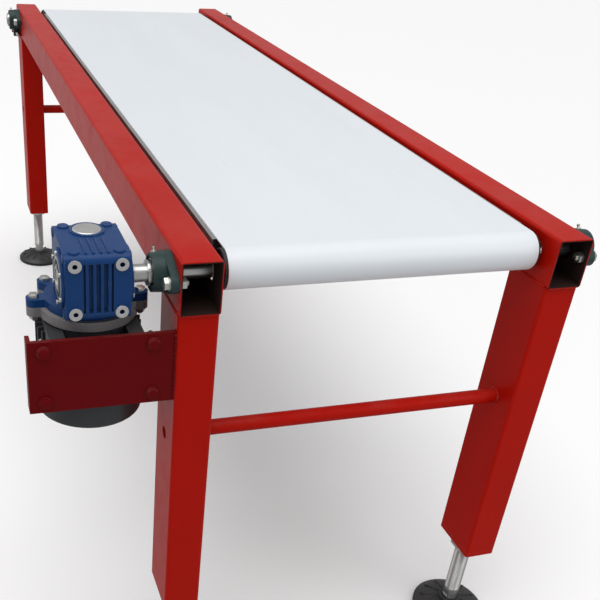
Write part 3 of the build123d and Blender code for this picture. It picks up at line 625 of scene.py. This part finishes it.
def painted(name, rgb, skin, roughness, relief, gloss=0.3, under=(0.20, 0.19, 0.18), radius=None):
    """Paint over metal: uneven gloss, a painted highlight along edges, wear along edges, scratches and
    dust.
    """
    wear = bpy.context.scene.conveyor_wear
    finish = Finish(name)
    edges = finish.group(
        "rounded_edges", Radius=radius or wear.edge_round, Amount=wear.edge_wear, Break_up=70.0
    )
    surface = finish.group(skin)
    marks = finish.group("scuffs", Amount=wear.scuffs)
    dust = finish.group("settled_dust", Amount=wear.dust)["Dust"]
    base = finish.mix(surface[1], shade(rgb, 0.82), shade(rgb, 1.12))
    # Lighter paint along every edge: a painted highlight.
    base = finish.over(base, edges["Edge"], 0.35, shade(rgb, 1.5))
    base = finish.over(base, marks["Scratches"], 0.5, shade(rgb, 1.7))
    base = finish.over(base, edges["Worn"], 0.55, (*under, 1.0))
    base = finish.mix(dust, base, (*bpy.context.scene.conveyor_colours.dust, 1.0))
    rough = finish.blend_value(marks["Rubbed"], roughness, roughness + 0.22)
    rough = finish.blend_value(dust, rough, 0.85)
    finish.set(Base_Color=base, Roughness=rough, Specular_IOR_Level=gloss)
    finish.bump(surface["Height"], relief, 0.4 * MM, edges["Normal"])
    return finish


def metal(name, rgb, direction, roughness, relief, dirt=(0.10, 0.085, 0.07), radius=None):
    """Bare or plated metal: tool marks, stains in patches and brighter edges that are a painted
    highlight.
    """
    wear = bpy.context.scene.conveyor_wear
    finish = Finish(name)
    edges = finish.group(
        "rounded_edges", Radius=radius or wear.edge_round / 2, Amount=0.6, Break_up=90.0
    )
    surface = finish.group("machined_skin", Direction=direction)
    rubbed = finish.group("scuffs", Amount=wear.scuffs)["Rubbed"]
    stains = finish.times(rubbed, 0.35)
    base = finish.mix(surface["Tone"], shade(rgb, 0.72), shade(rgb, 1.18))
    base = finish.mix(stains, base, (*dirt, 1.0))
    # Brighter metal along every edge: a painted highlight.
    base = finish.over(base, edges["Edge"], 0.4, shade(rgb, 1.35))
    rough = finish.blend_value(surface["Tone"], roughness - 0.1, roughness + 0.15)
    rough = finish.blend_value(rubbed, rough, roughness + 0.3)
    finish.set(Base_Color=base, Metallic=finish.blend_value(stains, 1.0, 0.55), Roughness=rough)
    finish.bump(surface["Height"], relief, 0.15 * MM, edges["Normal"])


def moulded(name, rgb, roughness, relief):
    """Moulded plastic or rubber: fine grain, pale scuffs and dust."""
    wear = bpy.context.scene.conveyor_wear
    finish = Finish(name)
    edges = finish.group("rounded_edges", Radius=wear.edge_round, Amount=0.5, Break_up=120.0)
    surface = finish.group("casting_skin")
    marks = finish.group("scuffs", Amount=wear.scuffs)
    dust = finish.group("settled_dust", Amount=wear.dust * 1.5)["Dust"]
    base = finish.mix(surface["Pits"], shade(rgb, 0.8), shade(rgb, 1.3))
    base = finish.over(base, edges["Worn"], 0.25, shade(rgb, 5.0))
    base = finish.over(base, marks["Scratches"], 0.4, shade(rgb, 4.0))
    base = finish.mix(dust, base, (*bpy.context.scene.conveyor_colours.dust, 1.0))
    rough = finish.blend_value(marks["Rubbed"], roughness, roughness + 0.25)
    finish.set(Base_Color=base, Roughness=rough)
    finish.bump(surface["Height"], relief, 0.3 * MM, edges["Normal"])


def frame_paint(rgb):
    """Red enamel outside the frame's hollow sections; within the rails, bare mill-scale steel darkened
    to near black as painted shade.
    """
    finish = painted("frame_red", rgb, "enamel_skin", 0.28, 0.16, gloss=0.07, radius=2.2 * MM)
    axes = finish.axes(finish.where)
    between = (rail_high.y + right_rail_low.y) / 2
    rail_centre = (rail_low + rail_high) / 2
    across_rail = finish.distance(finish.distance(axes["Y"], between), rail_centre.y - between)
    up_rail = finish.distance(axes["Z"], rail_centre.z)
    # Where the rails' hollows lie: these get painted shade.
    rail_hollow_shade_mask = finish.times(
        finish.math("LESS_THAN", across_rail, (rail_high.y - rail_low.y) / 2 - RAIL_SKIN),
        finish.math("LESS_THAN", up_rail, (rail_high.z - rail_low.z) / 2 - RAIL_SKIN),
    )
    # Near-black colour within the rails: painted shade over their bare steel, varied by the casting
    # grain.
    scale = finish.group("casting_skin")["Height"]
    rail_hollow_painted_shade = finish.mix(scale, (0.010, 0.007, 0.007, 1.0), (0.030, 0.016, 0.014, 1.0))
    finish.set(
        Base_Color=finish.mix(rail_hollow_shade_mask, finish.fed_by("Base Color"), rail_hollow_painted_shade),
        Roughness=finish.blend_value(rail_hollow_shade_mask, finish.fed_by("Roughness"), 0.8),
    )


def gearbox_paint(rgb, bare):
    """Blue casting paint that is machined away on the front pads and around the output bore."""
    finish = painted(
        "gearbox_blue", rgb, "casting_skin", 0.34, 0.35, gloss=0.22, under=(0.30, 0.32, 0.36)
    )
    axes = finish.axes(finish.where)
    pads = finish.math("LESS_THAN", axes["X"], gearbox_low.x + BARE_PAD_DEPTH)
    cover_low, cover_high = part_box("gearbox_side_covers")
    bore = drum_axis["drive"]
    outwards = finish.distance(axes["Y"], (cover_low.y + cover_high.y) / 2)
    outer_face = finish.math(
        "GREATER_THAN", outwards, (cover_high.y - cover_low.y) / 2 - BARE_FACE_DEPTH
    )
    beside = finish.minus(axes["X"], bore.x)
    above = finish.minus(axes["Z"], bore.z)
    from_bore = finish.math(
        "SQRT", finish.plus(finish.times(beside, beside), finish.times(above, above))
    )
    ring = finish.times(outer_face, finish.math("LESS_THAN", from_bore, BARE_BORE_RADIUS))
    bared = finish.math("MAXIMUM", pads, ring)
    milled = finish.group("machined_skin", Direction=(90, 1500, 60))
    face = finish.mix(milled["Tone"], shade(bare, 0.55), shade(bare, 0.95))
    finish.set(
        Base_Color=finish.mix(bared, finish.fed_by("Base Color"), face),
        Metallic=finish.times(bared, 0.9),
        Roughness=finish.blend_value(bared, finish.fed_by("Roughness"), 0.38),
    )


def belt_cover(rgb):
    """A white belt: satin cover, faint weave, and soft marks that run along it."""
    finish = Finish("white_pvc")
    wear = bpy.context.scene.conveyor_wear
    edges = finish.group("rounded_edges", Radius=wear.edge_round / 2, Amount=0.5, Break_up=50.0)
    surface = finish.group("belt_skin")
    rubbed = finish.group("scuffs", Amount=wear.scuffs)["Rubbed"]
    base = finish.mix(surface["Tone"], shade(rgb, 0.965), shade(rgb, 1.02))
    base = finish.over(base, surface["Marks"], 0.10, (0.42, 0.42, 0.42, 1.0))
    base = finish.over(base, edges["Edge"], 0.25, (0.50, 0.51, 0.52, 1.0))
    rough = finish.blend_value(rubbed, finish.blend_value(surface["Tone"], 0.30, 0.42), 0.55)
    finish.set(Base_Color=base, Roughness=rough, Coat_Weight=0.15, Coat_Roughness=0.25)
    finish.bump(surface["Height"], 0.22, 0.25 * MM, edges["Normal"])


def build_materials():
    """Makes the finish of every material slot."""
    colours = bpy.context.scene.conveyor_colours
    frame_paint(colours.frame)
    painted("bracket_red", colours.bracket, "enamel_skin", 0.36, 0.22, gloss=0.08)
    painted("teal_cast_iron", colours.bearing, "casting_skin", 0.42, 0.5, under=(0.22, 0.21, 0.2))
    painted(
        "motor_grey", colours.motor, "casting_skin", 0.40, 0.35, under=(0.3, 0.3, 0.3), radius=0.8 * MM
    )
    painted("flange_grey", colours.flange, "casting_skin", 0.45, 0.45, under=(0.45, 0.45, 0.45))
    painted("cover_grey", colours.fan_cover, "enamel_skin", 0.32, 0.2)
    painted("roller_grey", (0.30, 0.31, 0.32), "enamel_skin", 0.4, 0.2)
    gearbox_paint(colours.gearbox, colours.aluminium)
    belt_cover(colours.belt)
    metal("zinc_steel", colours.zinc, (700, 700, 700), 0.32, 0.2, radius=0.4 * MM)
    metal("turned_steel", colours.steel, (60, 900, 900), 0.28, 0.25, radius=0.4 * MM)
    metal("sheet_steel", colours.steel, (8, 900, 500), 0.36, 0.2)
    metal("bearing_steel", colours.steel, (900, 40, 900), 0.22, 0.15, radius=0.3 * MM)
    metal("bare_aluminium", colours.aluminium, (500, 60, 500), 0.38, 0.25, dirt=(0.25, 0.24, 0.23))
    metal("bronze", colours.bronze, (400, 60, 400), 0.35, 0.25)
    metal("lamination_steel", shade(colours.steel, 0.6)[:3], (30, 30, 2400), 0.45, 0.4)
    moulded("black_nylon", colours.nylon, 0.42, 0.35)
    moulded("drum_black", colours.rubber, 0.58, 0.6)


class CONVEYOR_OT_finishes(Operator):
    """Make every finish and put it on the frame's own pieces"""

    bl_idname = "conveyor.finishes"
    bl_label = "Paints and metals"

    def execute(self, context):
        for plain in set(node.data.materials[0] for node in frame["nodes"].values()):
            bpy.data.materials.remove(plain)
        for build in GROUP_BUILDERS:
            build()
        build_materials()
        for name, node in frame["nodes"].items():
            node.data.materials.clear()
            node.data.materials.append(bpy.data.materials[slot_of[name]])
        return {"FINISHED"}


class CONVEYOR_OT_frame_welds(Operator):
    """Lay the weld beads that hold the legs, bars, tension plates and bracket"""

    bl_idname = "conveyor.frame_welds"
    bl_label = "Frame welds"

    def execute(self, context):
        sink = context.scene.conveyor_details.weld / 2
        corner = 5 * MM
        legs = Piece("leg_welds")
        for end in ENDS:
            for name in SIDES:
                low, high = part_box(f"{end}_{name}_leg")
                x_ends = (low.x + corner, high.x - corner)
                y_ends = (low.y + corner, high.y - corner)
                top = rail_low.z
                for y in (low.y + sink, high.y - sink):
                    weld_bead(legs, (x_ends[0], y, top), (x_ends[1], y, top))
                for x in (low.x, high.x):
                    weld_bead(legs, (x, y_ends[0], top), (x, y_ends[1], top))
        legs.finish("frame", "frame_red")

        bars = Piece("cross_bar_welds")
        bar_radius = 12.5 * MM
        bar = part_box("leg_cross_bars")
        for end in ENDS:
            centre = middle(f"{end}_left_leg")
            for y in (right_rail_high.y, rail_low.y):
                ring_weld(bars, (centre.x, y, (bar[0].z + bar[1].z) / 2), ACROSS, bar_radius + sink / 2)
        bars.finish("frame", "frame_red")

        bracket = Piece("bracket_welds")
        plate = 6 * MM
        margin = 4 * MM
        low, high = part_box("motor_bracket")
        for x in (low.x, low.x + plate):
            weld_bead(bracket, (x, rail_high.y, low.z + margin), (x, rail_high.y, high.z - margin))
        bracket.finish("frame", "bracket_red")

        plates = Piece("tension_plate_welds")
        low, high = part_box("tension_plates")
        for y in (rail_high.y, right_rail_low.y):
            for x in (low.x, high.x):
                weld_bead(plates, (x, y, low.z + sink), (x, y, high.z - sink))
        plates.finish("frame", "frame_red")
        return {"FINISHED"}


class CONVEYOR_OT_feet(Operator):
    """Turn the threaded spindles and the ribbed pads of the levelling feet"""

    bl_idname = "conveyor.feet"
    bl_label = "Levelling feet"

    def execute(self, context):
        details = context.scene.conveyor_details
        steps = details.lathe_steps
        half_flats, flats_gap, flats_height, thread_gap = 12 * MM, 4 * MM, 14 * MM, 6 * MM
        socket_floor, socket_gap, rim_top, rim_edge = 14 * MM, 0.1 * MM, 9.4 * MM, 1.6 * MM
        dome_curve = mm(
            (22.6, 28), (25, 26.4), (36, 25), (47, 22.4), (57, 18.4), (64, 14.4), (68, 11.6)
        )
        rib_size = (34 * MM, 2.4 * MM, 6 * MM)
        lean = Matrix.Translation((41 * MM, 0, 22.6 * MM)) @ Matrix.Rotation(radians(12), 4, "Y")
        ribs = 12
        for foot in (f"{end}_{name}_foot" for end in ENDS for name in SIDES):
            low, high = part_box(f"{foot}_spindle")
            centre = (low + high) / 2
            pad_low, pad_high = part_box(f"{foot}_pad")
            pad_radius = (pad_high.x - pad_low.x) / 2
            radius = (high.x - low.x) / 2
            flats_low = pad_high.z + flats_gap
            flats_high = flats_low + flats_height
            thread_low = flats_high + thread_gap
            place = Matrix.Translation((centre.x, centre.y, 0))
            spindle = Piece(f"{foot}_threaded_spindle")
            spindle.turned(
                [(0, low.z), (radius, low.z), (radius, flats_low), (0, flats_low)], steps, place
            )
            flats = lathe(
                [(0, flats_low), (radius, flats_low), (radius, flats_high), (0, flats_high)], steps
            )
            for vert in flats.verts:
                vert.co.y = max(-half_flats, min(half_flats, vert.co.y))
            spindle.add(flats, place)
            root = radius - details.thread_depth
            spindle.turned(
                [
                    (0, flats_high), (radius, flats_high), (radius, thread_low),
                    *thread(root, radius, thread_low, high.z - 2 * MM, details.spindle_pitch),
                    (radius * 0.8, high.z), (0, high.z),
                ],
                steps, place,
            )
            spindle.finish(f"{foot}_spindle", "turned_steel", [f"{foot}_spindle"])

            pad = Piece(f"{foot}_ribbed_pad")
            collar_edge = pad_high.z - 1 * MM
            dome = [
                (radius + socket_gap, socket_floor), (radius + socket_gap, collar_edge),
                (radius + 1.5 * MM, pad_high.z), (21 * MM, pad_high.z), (22 * MM, collar_edge),
                *dome_curve, (pad_radius, rim_top), (pad_radius, rim_edge), (pad_radius - rim_edge, 0),
                (0, 0), (0, socket_floor),
            ]
            pad.turned(dome, steps + 8, place)
            for rib in range(ribs):
                turn = Matrix.Rotation(2 * pi * rib / ribs, 4, "Z")
                pad.add(block(rib_size, 0.8 * MM, 2), place @ turn @ lean)
            pad.finish(f"{foot}_pad", "black_nylon", [f"{foot}_pad"])
        return {"FINISHED"}


class CONVEYOR_OT_bearing_units(Operator):
    """Fit the bearing units with bolts, seals, grease nipples and set screws"""

    bl_idname = "conveyor.bearing_units"
    bl_label = "Bearing units"

    def execute(self, context):
        details = context.scene.conveyor_details
        steps = details.lathe_steps
        bolt_offset = 40 * MM
        washer = mm((5, 0), (10, 0), (10, 1.7), (9.7, 2), (5, 2))
        seal = mm((19.2, 27.4), (23.4, 27.4), (23.4, 28.4), (22.6, 29.2), (20.4, 28.8), (19.2, 28.2))
        nipple = mm(
            (0, -2), (3.4, -2), (3.4, 2.6), (2.1, 2.9), (1.9, 5.2), (2.7, 6.2), (2.7, 7.4), (1.3, 8.6),
            (0, 8.6),
        )
        slant = (UP + ALONG * 0.5).normalized()
        for end, carrier in (("drive", "frame"), ("tail", "take_up_carriage")):
            axis = drum_axis[end]
            bolts = Piece(f"{end}_bearing_hex_bolts")
            seals = Piece(f"{end}_bearing_seals")
            nipples = Piece(f"{end}_grease_nipples")
            screws = Piece(f"{end}_collar_set_screws")
            for face, side in ((rail_high.y, 1), (right_rail_low.y, -1)):
                out = ACROSS * side
                centre = Vector((axis.x, face, axis.z))
                for offset in (-bolt_offset, bolt_offset):
                    seat = Vector((axis.x + offset, face, axis.z)) + out * 12 * MM
                    bolts.turned(washer, steps, placed(seat, out), closed=True)
                    hex_bolt(
                        bolts, placed(seat + out * 2 * MM, out), flats=16 * MM, head=6.4 * MM,
                        radius=5 * MM, pitch=details.bolt_pitch, reach=29 * MM, nut_at=17 * MM,
                        nut=8 * MM,
                    )
                seals.turned(seal, steps, placed(centre, out), closed=True)
                boss = placed(centre + out * 22 * MM + slant * 26.5 * MM, slant)
                nipples.turned(nipple, 16, boss)
                nipples.add(hexagon(7 * MM, 0.5 * MM, 2.6 * MM, 0.3 * MM), boss)
                for turn in (35, 155):
                    spoke = Vector((cos(radians(turn)), 0, sin(radians(turn))))
                    spot = centre + out * 31.5 * MM + spoke * 17.7 * MM
                    cap_screw(screws, placed(spot, spoke), 2.6 * MM, 0.7 * MM)
            bolts.finish(carrier, "zinc_steel", [f"{end}_bearing_bolts"])
            seals.finish(carrier, "drum_black")
            nipples.finish(carrier, "zinc_steel")
            screws.finish(f"{end}_drum", "turned_steel")
        return {"FINISHED"}


class CONVEYOR_OT_tension_screws(Operator):
    """Turn the tension screws with their threads and heads, and run a lock nut against each plate"""

    bl_idname = "conveyor.tension_screws"
    bl_label = "Tension screws"

    def execute(self, context):
        pitch = context.scene.conveyor_details.screw_pitch
        flats, head, radius = 13 * MM, 5.5 * MM, 4 * MM
        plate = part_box("tension_plates")
        for name in SIDES:
            node = f"{name}_tension_screw"
            low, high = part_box(node)
            centre = (low + high) / 2
            run = high.x - head - low.x
            place = placed((high.x - head, centre.y, centre.z), ALONG)
            screw = Piece(f"{name}_threaded_tension_screw")
            screw.turned(shank(run, radius * 0.8, radius * 0.86, radius, 1 * MM, pitch), 20, place)
            screw.add(hexagon(flats, 0, head, 0.8 * MM), place)
            screw.finish(node, "zinc_steel", [node])
            nut = Piece(f"{name}_tension_lock_nut")
            seat = placed((plate[0].x, centre.y, centre.z), -ALONG)
            nut.add(hexagon(flats, 0.2 * MM, 6.2 * MM, 0.5 * MM), seat)
            nut.finish("frame", "zinc_steel")
        return {"FINISHED"}


class CONVEYOR_OT_gearbox_fittings(Operator):
    """Fit the gearbox with top pads, ribs, cover screws, oil plugs, seals and a retaining ring"""

    bl_idname = "conveyor.gearbox_fittings"
    bl_label = "Gearbox fittings"

    def execute(self, context):
        details = context.scene.conveyor_details
        steps = details.lathe_steps
        drive = drum_axis["drive"]
        cover_low, cover_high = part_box("gearbox_side_covers")
        top = gearbox_high.z

        castings = Piece("gearbox_top_pads_and_ribs")
        inset = 14 * MM
        pad = mm((0, -4), (8.5, -4), (8, 1.6), (7.2, 2.4), (0, 2.4))
        for x in (gearbox_low.x + inset + 3 * MM, gearbox_high.x - inset):
            for y in (gearbox_low.y + inset, gearbox_high.y - inset):
                castings.turned(pad, steps, Matrix.Translation((x, y, top)))
        rib_length = motor_axis.x - gearbox_low.x - 40 * MM
        for offset in (-15, -5, 5, 15):
            spot = (gearbox_low.x + 10 * MM + rib_length / 2, motor_axis.y + offset * MM, top)
            castings.add(block((rib_length, 3.6 * MM, 4 * MM), 1.2 * MM), Matrix.Translation(spot))
        collar = mm((20.4, -1), (25, -1), (24.4, 1.8), (23.6, 2.4), (21, 2.4), (20.4, 1.8))
        place = Matrix.Translation((motor_axis.x, motor_axis.y, top))
        castings.turned(collar, steps, place, closed=True)
        boss = mm((0, -3), (7, -3), (6.6, 1.4), (0, 1.8))
        for y, side in ((gearbox_low.y, -1), (gearbox_high.y, 1)):
            for level in (-39 * MM, 39 * MM):
                for x in (gearbox_low.x + 16 * MM, gearbox_high.x - 13 * MM):
                    castings.turned(boss, steps, placed((x, y, drive.z + level), ACROSS * side))
        castings.finish("frame", "gearbox_blue")

        screws = Piece("gearbox_cover_screws")
        seals = Piece("gearbox_shaft_seals")
        seal = mm((17.8, -1), (25, -1), (25, 0.4), (22, 0.9), (19, 0.3), (17.8, -0.2))
        screw_circle = (cover_high.x - cover_low.x) / 2 - 5 * MM
        for y, side in ((cover_low.y, -1), (cover_high.y, 1)):
            out = ACROSS * side
            for turn in range(30, 390, 60):
                spot = (
                    drive.x + screw_circle * cos(radians(turn)), y,
                    drive.z + screw_circle * sin(radians(turn)),
                )
                cap_screw(screws, placed(spot, out), details.cover_screw, 2.4 * MM)
            seals.turned(seal, steps, placed((drive.x, y, drive.z), out), closed=True)
        screws.finish("frame", "zinc_steel")
        seals.finish("frame", "drum_black")

        plugs = Piece("gearbox_oil_plugs")
        seat = mm((0, -1), (8.4, -1), (8.4, 1.4), (0, 1.4))
        for y, z in ((motor_axis.y, drive.z - 30 * MM), (motor_axis.y - 24 * MM, drive.z + 28 * MM)):
            place = placed((gearbox_high.x, y, z), ALONG)
            plugs.turned(seat, steps, place)
            plugs.add(hexagon(13 * MM, 1.2 * MM, 6.4 * MM, 0.8 * MM), place)
        plugs.finish("frame", "bronze")

        ring = Piece("output_shaft_retaining_ring")
        section = mm((12.6, 0.05), (16, 0.05), (16, 1.3), (12.6, 1.3))
        ring.turned(section, steps, placed((drive.x, cover_high.y, drive.z), ACROSS), closed=True)
        ring.finish("drive_drum", "turned_steel")
        return {"FINISHED"}


class CONVEYOR_OT_gearmotor_bolts(Operator):
    """Bolt the motor to the gearbox, and its feet to the bracket with painted heads"""

    bl_idname = "conveyor.gearmotor_bolts"
    bl_label = "Gearmotor bolts"

    def execute(self, context):
        details = context.scene.conveyor_details
        bolt_circle = 76 * MM
        flange_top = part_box("gearbox_input_flange")[0].z + 12 * MM
        flange = Piece("motor_flange_hex_bolts")
        for turn in (-90, -45, 45, 90):
            spot = (
                motor_axis.x + bolt_circle * cos(radians(turn)),
                motor_axis.y + bolt_circle * sin(radians(turn)),
                flange_top,
            )
            hex_bolt(
                flange, placed(spot, UP), flats=13 * MM, head=5.3 * MM, radius=4 * MM,
                pitch=1.25 * MM, reach=36.5 * MM, nut_at=26 * MM, nut=6.5 * MM,
            )
        flange.finish("frame", "zinc_steel", ["gearmotor_bolts"])

        low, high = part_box("motor_bracket")
        level = (low.z + high.z) / 2
        flats, root, crest = 16 * MM, 4.4 * MM, 5 * MM
        heads = Piece("bracket_painted_bolt_heads")
        shanks = Piece("bracket_bolt_shanks_and_nuts")
        washer = mm((0, -0.5), (10, -0.5), (10, 1.4), (9.4, 1.8), (0, 1.8))
        threaded = shank(27 * MM, root * 0.85, root, crest, 1 * MM, details.bolt_pitch)
        for dy in (-76 * MM, 76 * MM):
            for dz in (-40 * MM, 40 * MM):
                place = placed((low.x, motor_axis.y + dy, level + dz), -ALONG)
                heads.turned(washer, details.lathe_steps, place)
                heads.add(hexagon(flats, 1.6 * MM, 6.4 * MM, 1.1 * MM), place)
                shanks.turned(threaded, 20, place)
                shanks.add(hexagon(flats, -23 * MM, -15 * MM), place)
        heads.finish("frame", "bracket_red")
        shanks.finish("frame", "zinc_steel")
        return {"FINISHED"}


class CONVEYOR_OT_motor_fittings(Operator):
    """Fit the motor with fan cover screws, lid screws, a lid gasket and a rolled rim"""

    bl_idname = "conveyor.motor_fittings"
    bl_label = "Motor fittings"

    def execute(self, context):
        screw = context.scene.conveyor_details.cover_screw
        inset, head = 8 * MM, 1.8 * MM
        cover_low, cover_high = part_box("fan_cover")
        radius = (cover_high.x - cover_low.x) / 2
        centre = Vector((motor_axis.x, motor_axis.y, 0))
        screws = Piece("fan_cover_screws")
        for turn in (20, 160, 200, 340):
            spoke = Vector((cos(radians(turn)), sin(radians(turn)), 0))
            spot = centre + spoke * radius + UP * (cover_high.z - inset)
            cap_screw(screws, placed(spot, spoke), screw * 1.15, head)
        lid_low, lid_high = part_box("terminal_box_lid")
        for y in (lid_low.y + inset, lid_high.y - inset):
            for z in (lid_low.z + inset, lid_high.z - inset):
                cap_screw(screws, placed((lid_high.x, y, z), ALONG), screw, head)
        screws.finish("frame", "zinc_steel")

        box_low, box_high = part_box("terminal_box")
        gasket = Piece("terminal_box_gasket")
        thick = 1.6 * MM
        size = (thick, box_high.y - box_low.y + thick, box_high.z - box_low.z + thick)
        spot = (box_high.x - 0.2 * MM, (box_low.y + box_high.y) / 2, (box_low.z + box_high.z) / 2)
        gasket.add(block(size, 0.6 * MM), Matrix.Translation(spot))
        gasket.finish("frame", "drum_black")

        rim = Piece("fan_cover_rolled_rim")
        lip = mm((-0.4, -1.4), (0.5, -1.2), (0.9, 0), (0.5, 1.2), (-0.4, 1.4))
        place = Matrix.Translation(centre + UP * (cover_high.z - 1.6 * MM))
        rim.turned([(radius + beyond, height) for beyond, height in lip], 96, place, closed=True)
        rim.finish("frame", "cover_grey")
        return {"FINISHED"}


class CONVEYOR_OT_drum_fittings(Operator):
    """Close the ends of the return rollers and clip their axles"""

    bl_idname = "conveyor.drum_fittings"
    bl_label = "Roller ends"

    def execute(self, context):
        cap = mm((5.4, -2), (13.4, -2), (13.4, 0.6), (11, 1.2), (7, 1), (5.4, 0.6))
        clip = mm((5.02, 2.2), (7.4, 2.2), (7.4, 3.1), (5.02, 3.1))
        for number in (1, 2):
            low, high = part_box(f"return_roller_{number}")
            centre = (low + high) / 2
            ends = Piece(f"return_roller_{number}_end_caps")
            clips = Piece(f"return_roller_{number}_clips")
            for y, side in ((low.y, -1), (high.y, 1)):
                place = placed((centre.x, y, centre.z), ACROSS * side)
                ends.turned(cap, 32, place, closed=True)
                clips.turned(clip, 24, place, closed=True)
            ends.finish(f"return_roller_{number}", "black_nylon")
            clips.finish("frame", "turned_steel")
        return {"FINISHED"}


class CONVEYOR_OT_stage(Operator):
    """Set up the pale floor, the soft lights and the camera"""

    bl_idname = "conveyor.stage"
    bl_label = "Stage"

    def execute(self, context):
        studio = context.scene.conveyor_studio
        floor_bm = bmesh.new()
        bmesh.ops.create_circle(floor_bm, cap_ends=True, segments=96, radius=FLOOR_RADIUS)
        mesh = bpy.data.meshes.new("studio_floor")
        floor_bm.to_mesh(mesh)
        floor_bm.free()
        floor = bpy.data.objects.new("studio_floor", mesh)
        context.scene.collection.objects.link(floor)
        paint = Finish("studio_floor")
        seen = paint.node("LightPath").outputs["Is Camera Ray"]
        paint.set(Base_Color=paint.mix(seen, shade(FLOOR, 0.5), shade(FLOOR, 1.0)), Roughness=0.9)
        mesh.materials.append(paint.material)

        world = bpy.data.worlds.new("studio_sky")
        world.use_nodes = True
        sky = Network(world.node_tree)
        background = world.node_tree.nodes["Background"].inputs
        background["Color"].default_value = (1, 1, 1, 1)
        brightness = sky.node("MapRange")
        brightness.inputs["To Min"].default_value = studio.sky
        brightness.inputs["To Max"].default_value = studio.backdrop
        sky.feed(brightness.inputs["Value"], sky.node("LightPath").outputs["Is Camera Ray"])
        sky.feed(background["Strength"], brightness.outputs["Result"])
        context.scene.world = world

        for name, kind, spot, power in (
            ("overhead_light", "SUN", (-0.5, 0.5, 3.5), studio.overhead),
            ("drive_end_softbox", "AREA", (-2.6, -1.6, 1.7), studio.softbox),
            ("far_side_softbox", "AREA", (1.8, 2.6, 1.9), studio.softbox),
        ):
            data = bpy.data.lights.new(name, kind)
            data.energy = power
            if kind == "SUN":
                data.angle = SUN_SPREAD
            else:
                data.size = SOFTBOX_SIZE
            light = bpy.data.objects.new(name, data)
            turn = (LIGHT_AIM - Vector(spot)).to_track_quat("-Z", "Y").to_matrix().to_4x4()
            light.matrix_world = Matrix.Translation(spot) @ turn
            context.scene.collection.objects.link(light)

        lens = bpy.data.cameras.new("camera")
        lens.lens = studio.lens
        lens.shift_x = studio.shift_x
        lens.shift_y = studio.shift_y
        camera = bpy.data.objects.new("camera", lens)
        camera.matrix_world = (
            Matrix.Translation(studio.place)
            @ Matrix.Rotation(studio.heading, 4, "Z")
            @ Matrix.Rotation(studio.tilt, 4, "X")
            @ Matrix.Rotation(studio.roll, 4, "Z")
        )
        context.scene.collection.objects.link(camera)
        context.scene.camera = camera
        context.scene.view_settings.view_transform = "Standard"
        return {"FINISHED"}


OPERATORS = (
    CONVEYOR_OT_stage,
    CONVEYOR_OT_finishes,
    CONVEYOR_OT_frame_welds,
    CONVEYOR_OT_feet,
    CONVEYOR_OT_bearing_units,
    CONVEYOR_OT_tension_screws,
    CONVEYOR_OT_gearbox_fittings,
    CONVEYOR_OT_gearmotor_bolts,
    CONVEYOR_OT_motor_fittings,
    CONVEYOR_OT_drum_fittings,
)


class CONVEYOR_PT_panel(Panel):
    """Lists the settings and the operators"""

    bl_idname = "CONVEYOR_PT_panel"
    bl_label = "Conveyor"
    bl_space_type = "VIEW_3D"
    bl_region_type = "UI"
    bl_category = "Conveyor"

    def draw(self, context):
        for name, group in PROPERTY_GROUPS.items():
            box = self.layout.box()
            box.label(text=group.__doc__)
            settings = getattr(context.scene, name)
            for key in group.__annotations__:
                box.prop(settings, key)
        for operator in OPERATORS:
            self.layout.operator(operator.bl_idname)


def register():
    """Registers the settings, the operators and the panel."""
    for name, group in PROPERTY_GROUPS.items():
        bpy.utils.register_class(group)
        setattr(bpy.types.Scene, name, PointerProperty(type=group))
    for cls in (*OPERATORS, CONVEYOR_PT_panel):
        bpy.utils.register_class(cls)


def unregister():
    """Takes away what register added."""
    for cls in (CONVEYOR_PT_panel, *reversed(OPERATORS)):
        bpy.utils.unregister_class(cls)
    for name, group in PROPERTY_GROUPS.items():
        delattr(bpy.types.Scene, name)
        bpy.utils.unregister_class(group)


def main():
    """Builds the looks in order."""
    register()
    for operator in OPERATORS:
        family, name = operator.bl_idname.split(".")
        getattr(getattr(bpy.ops, family), name)()


if __name__ == "__main__":
    main()
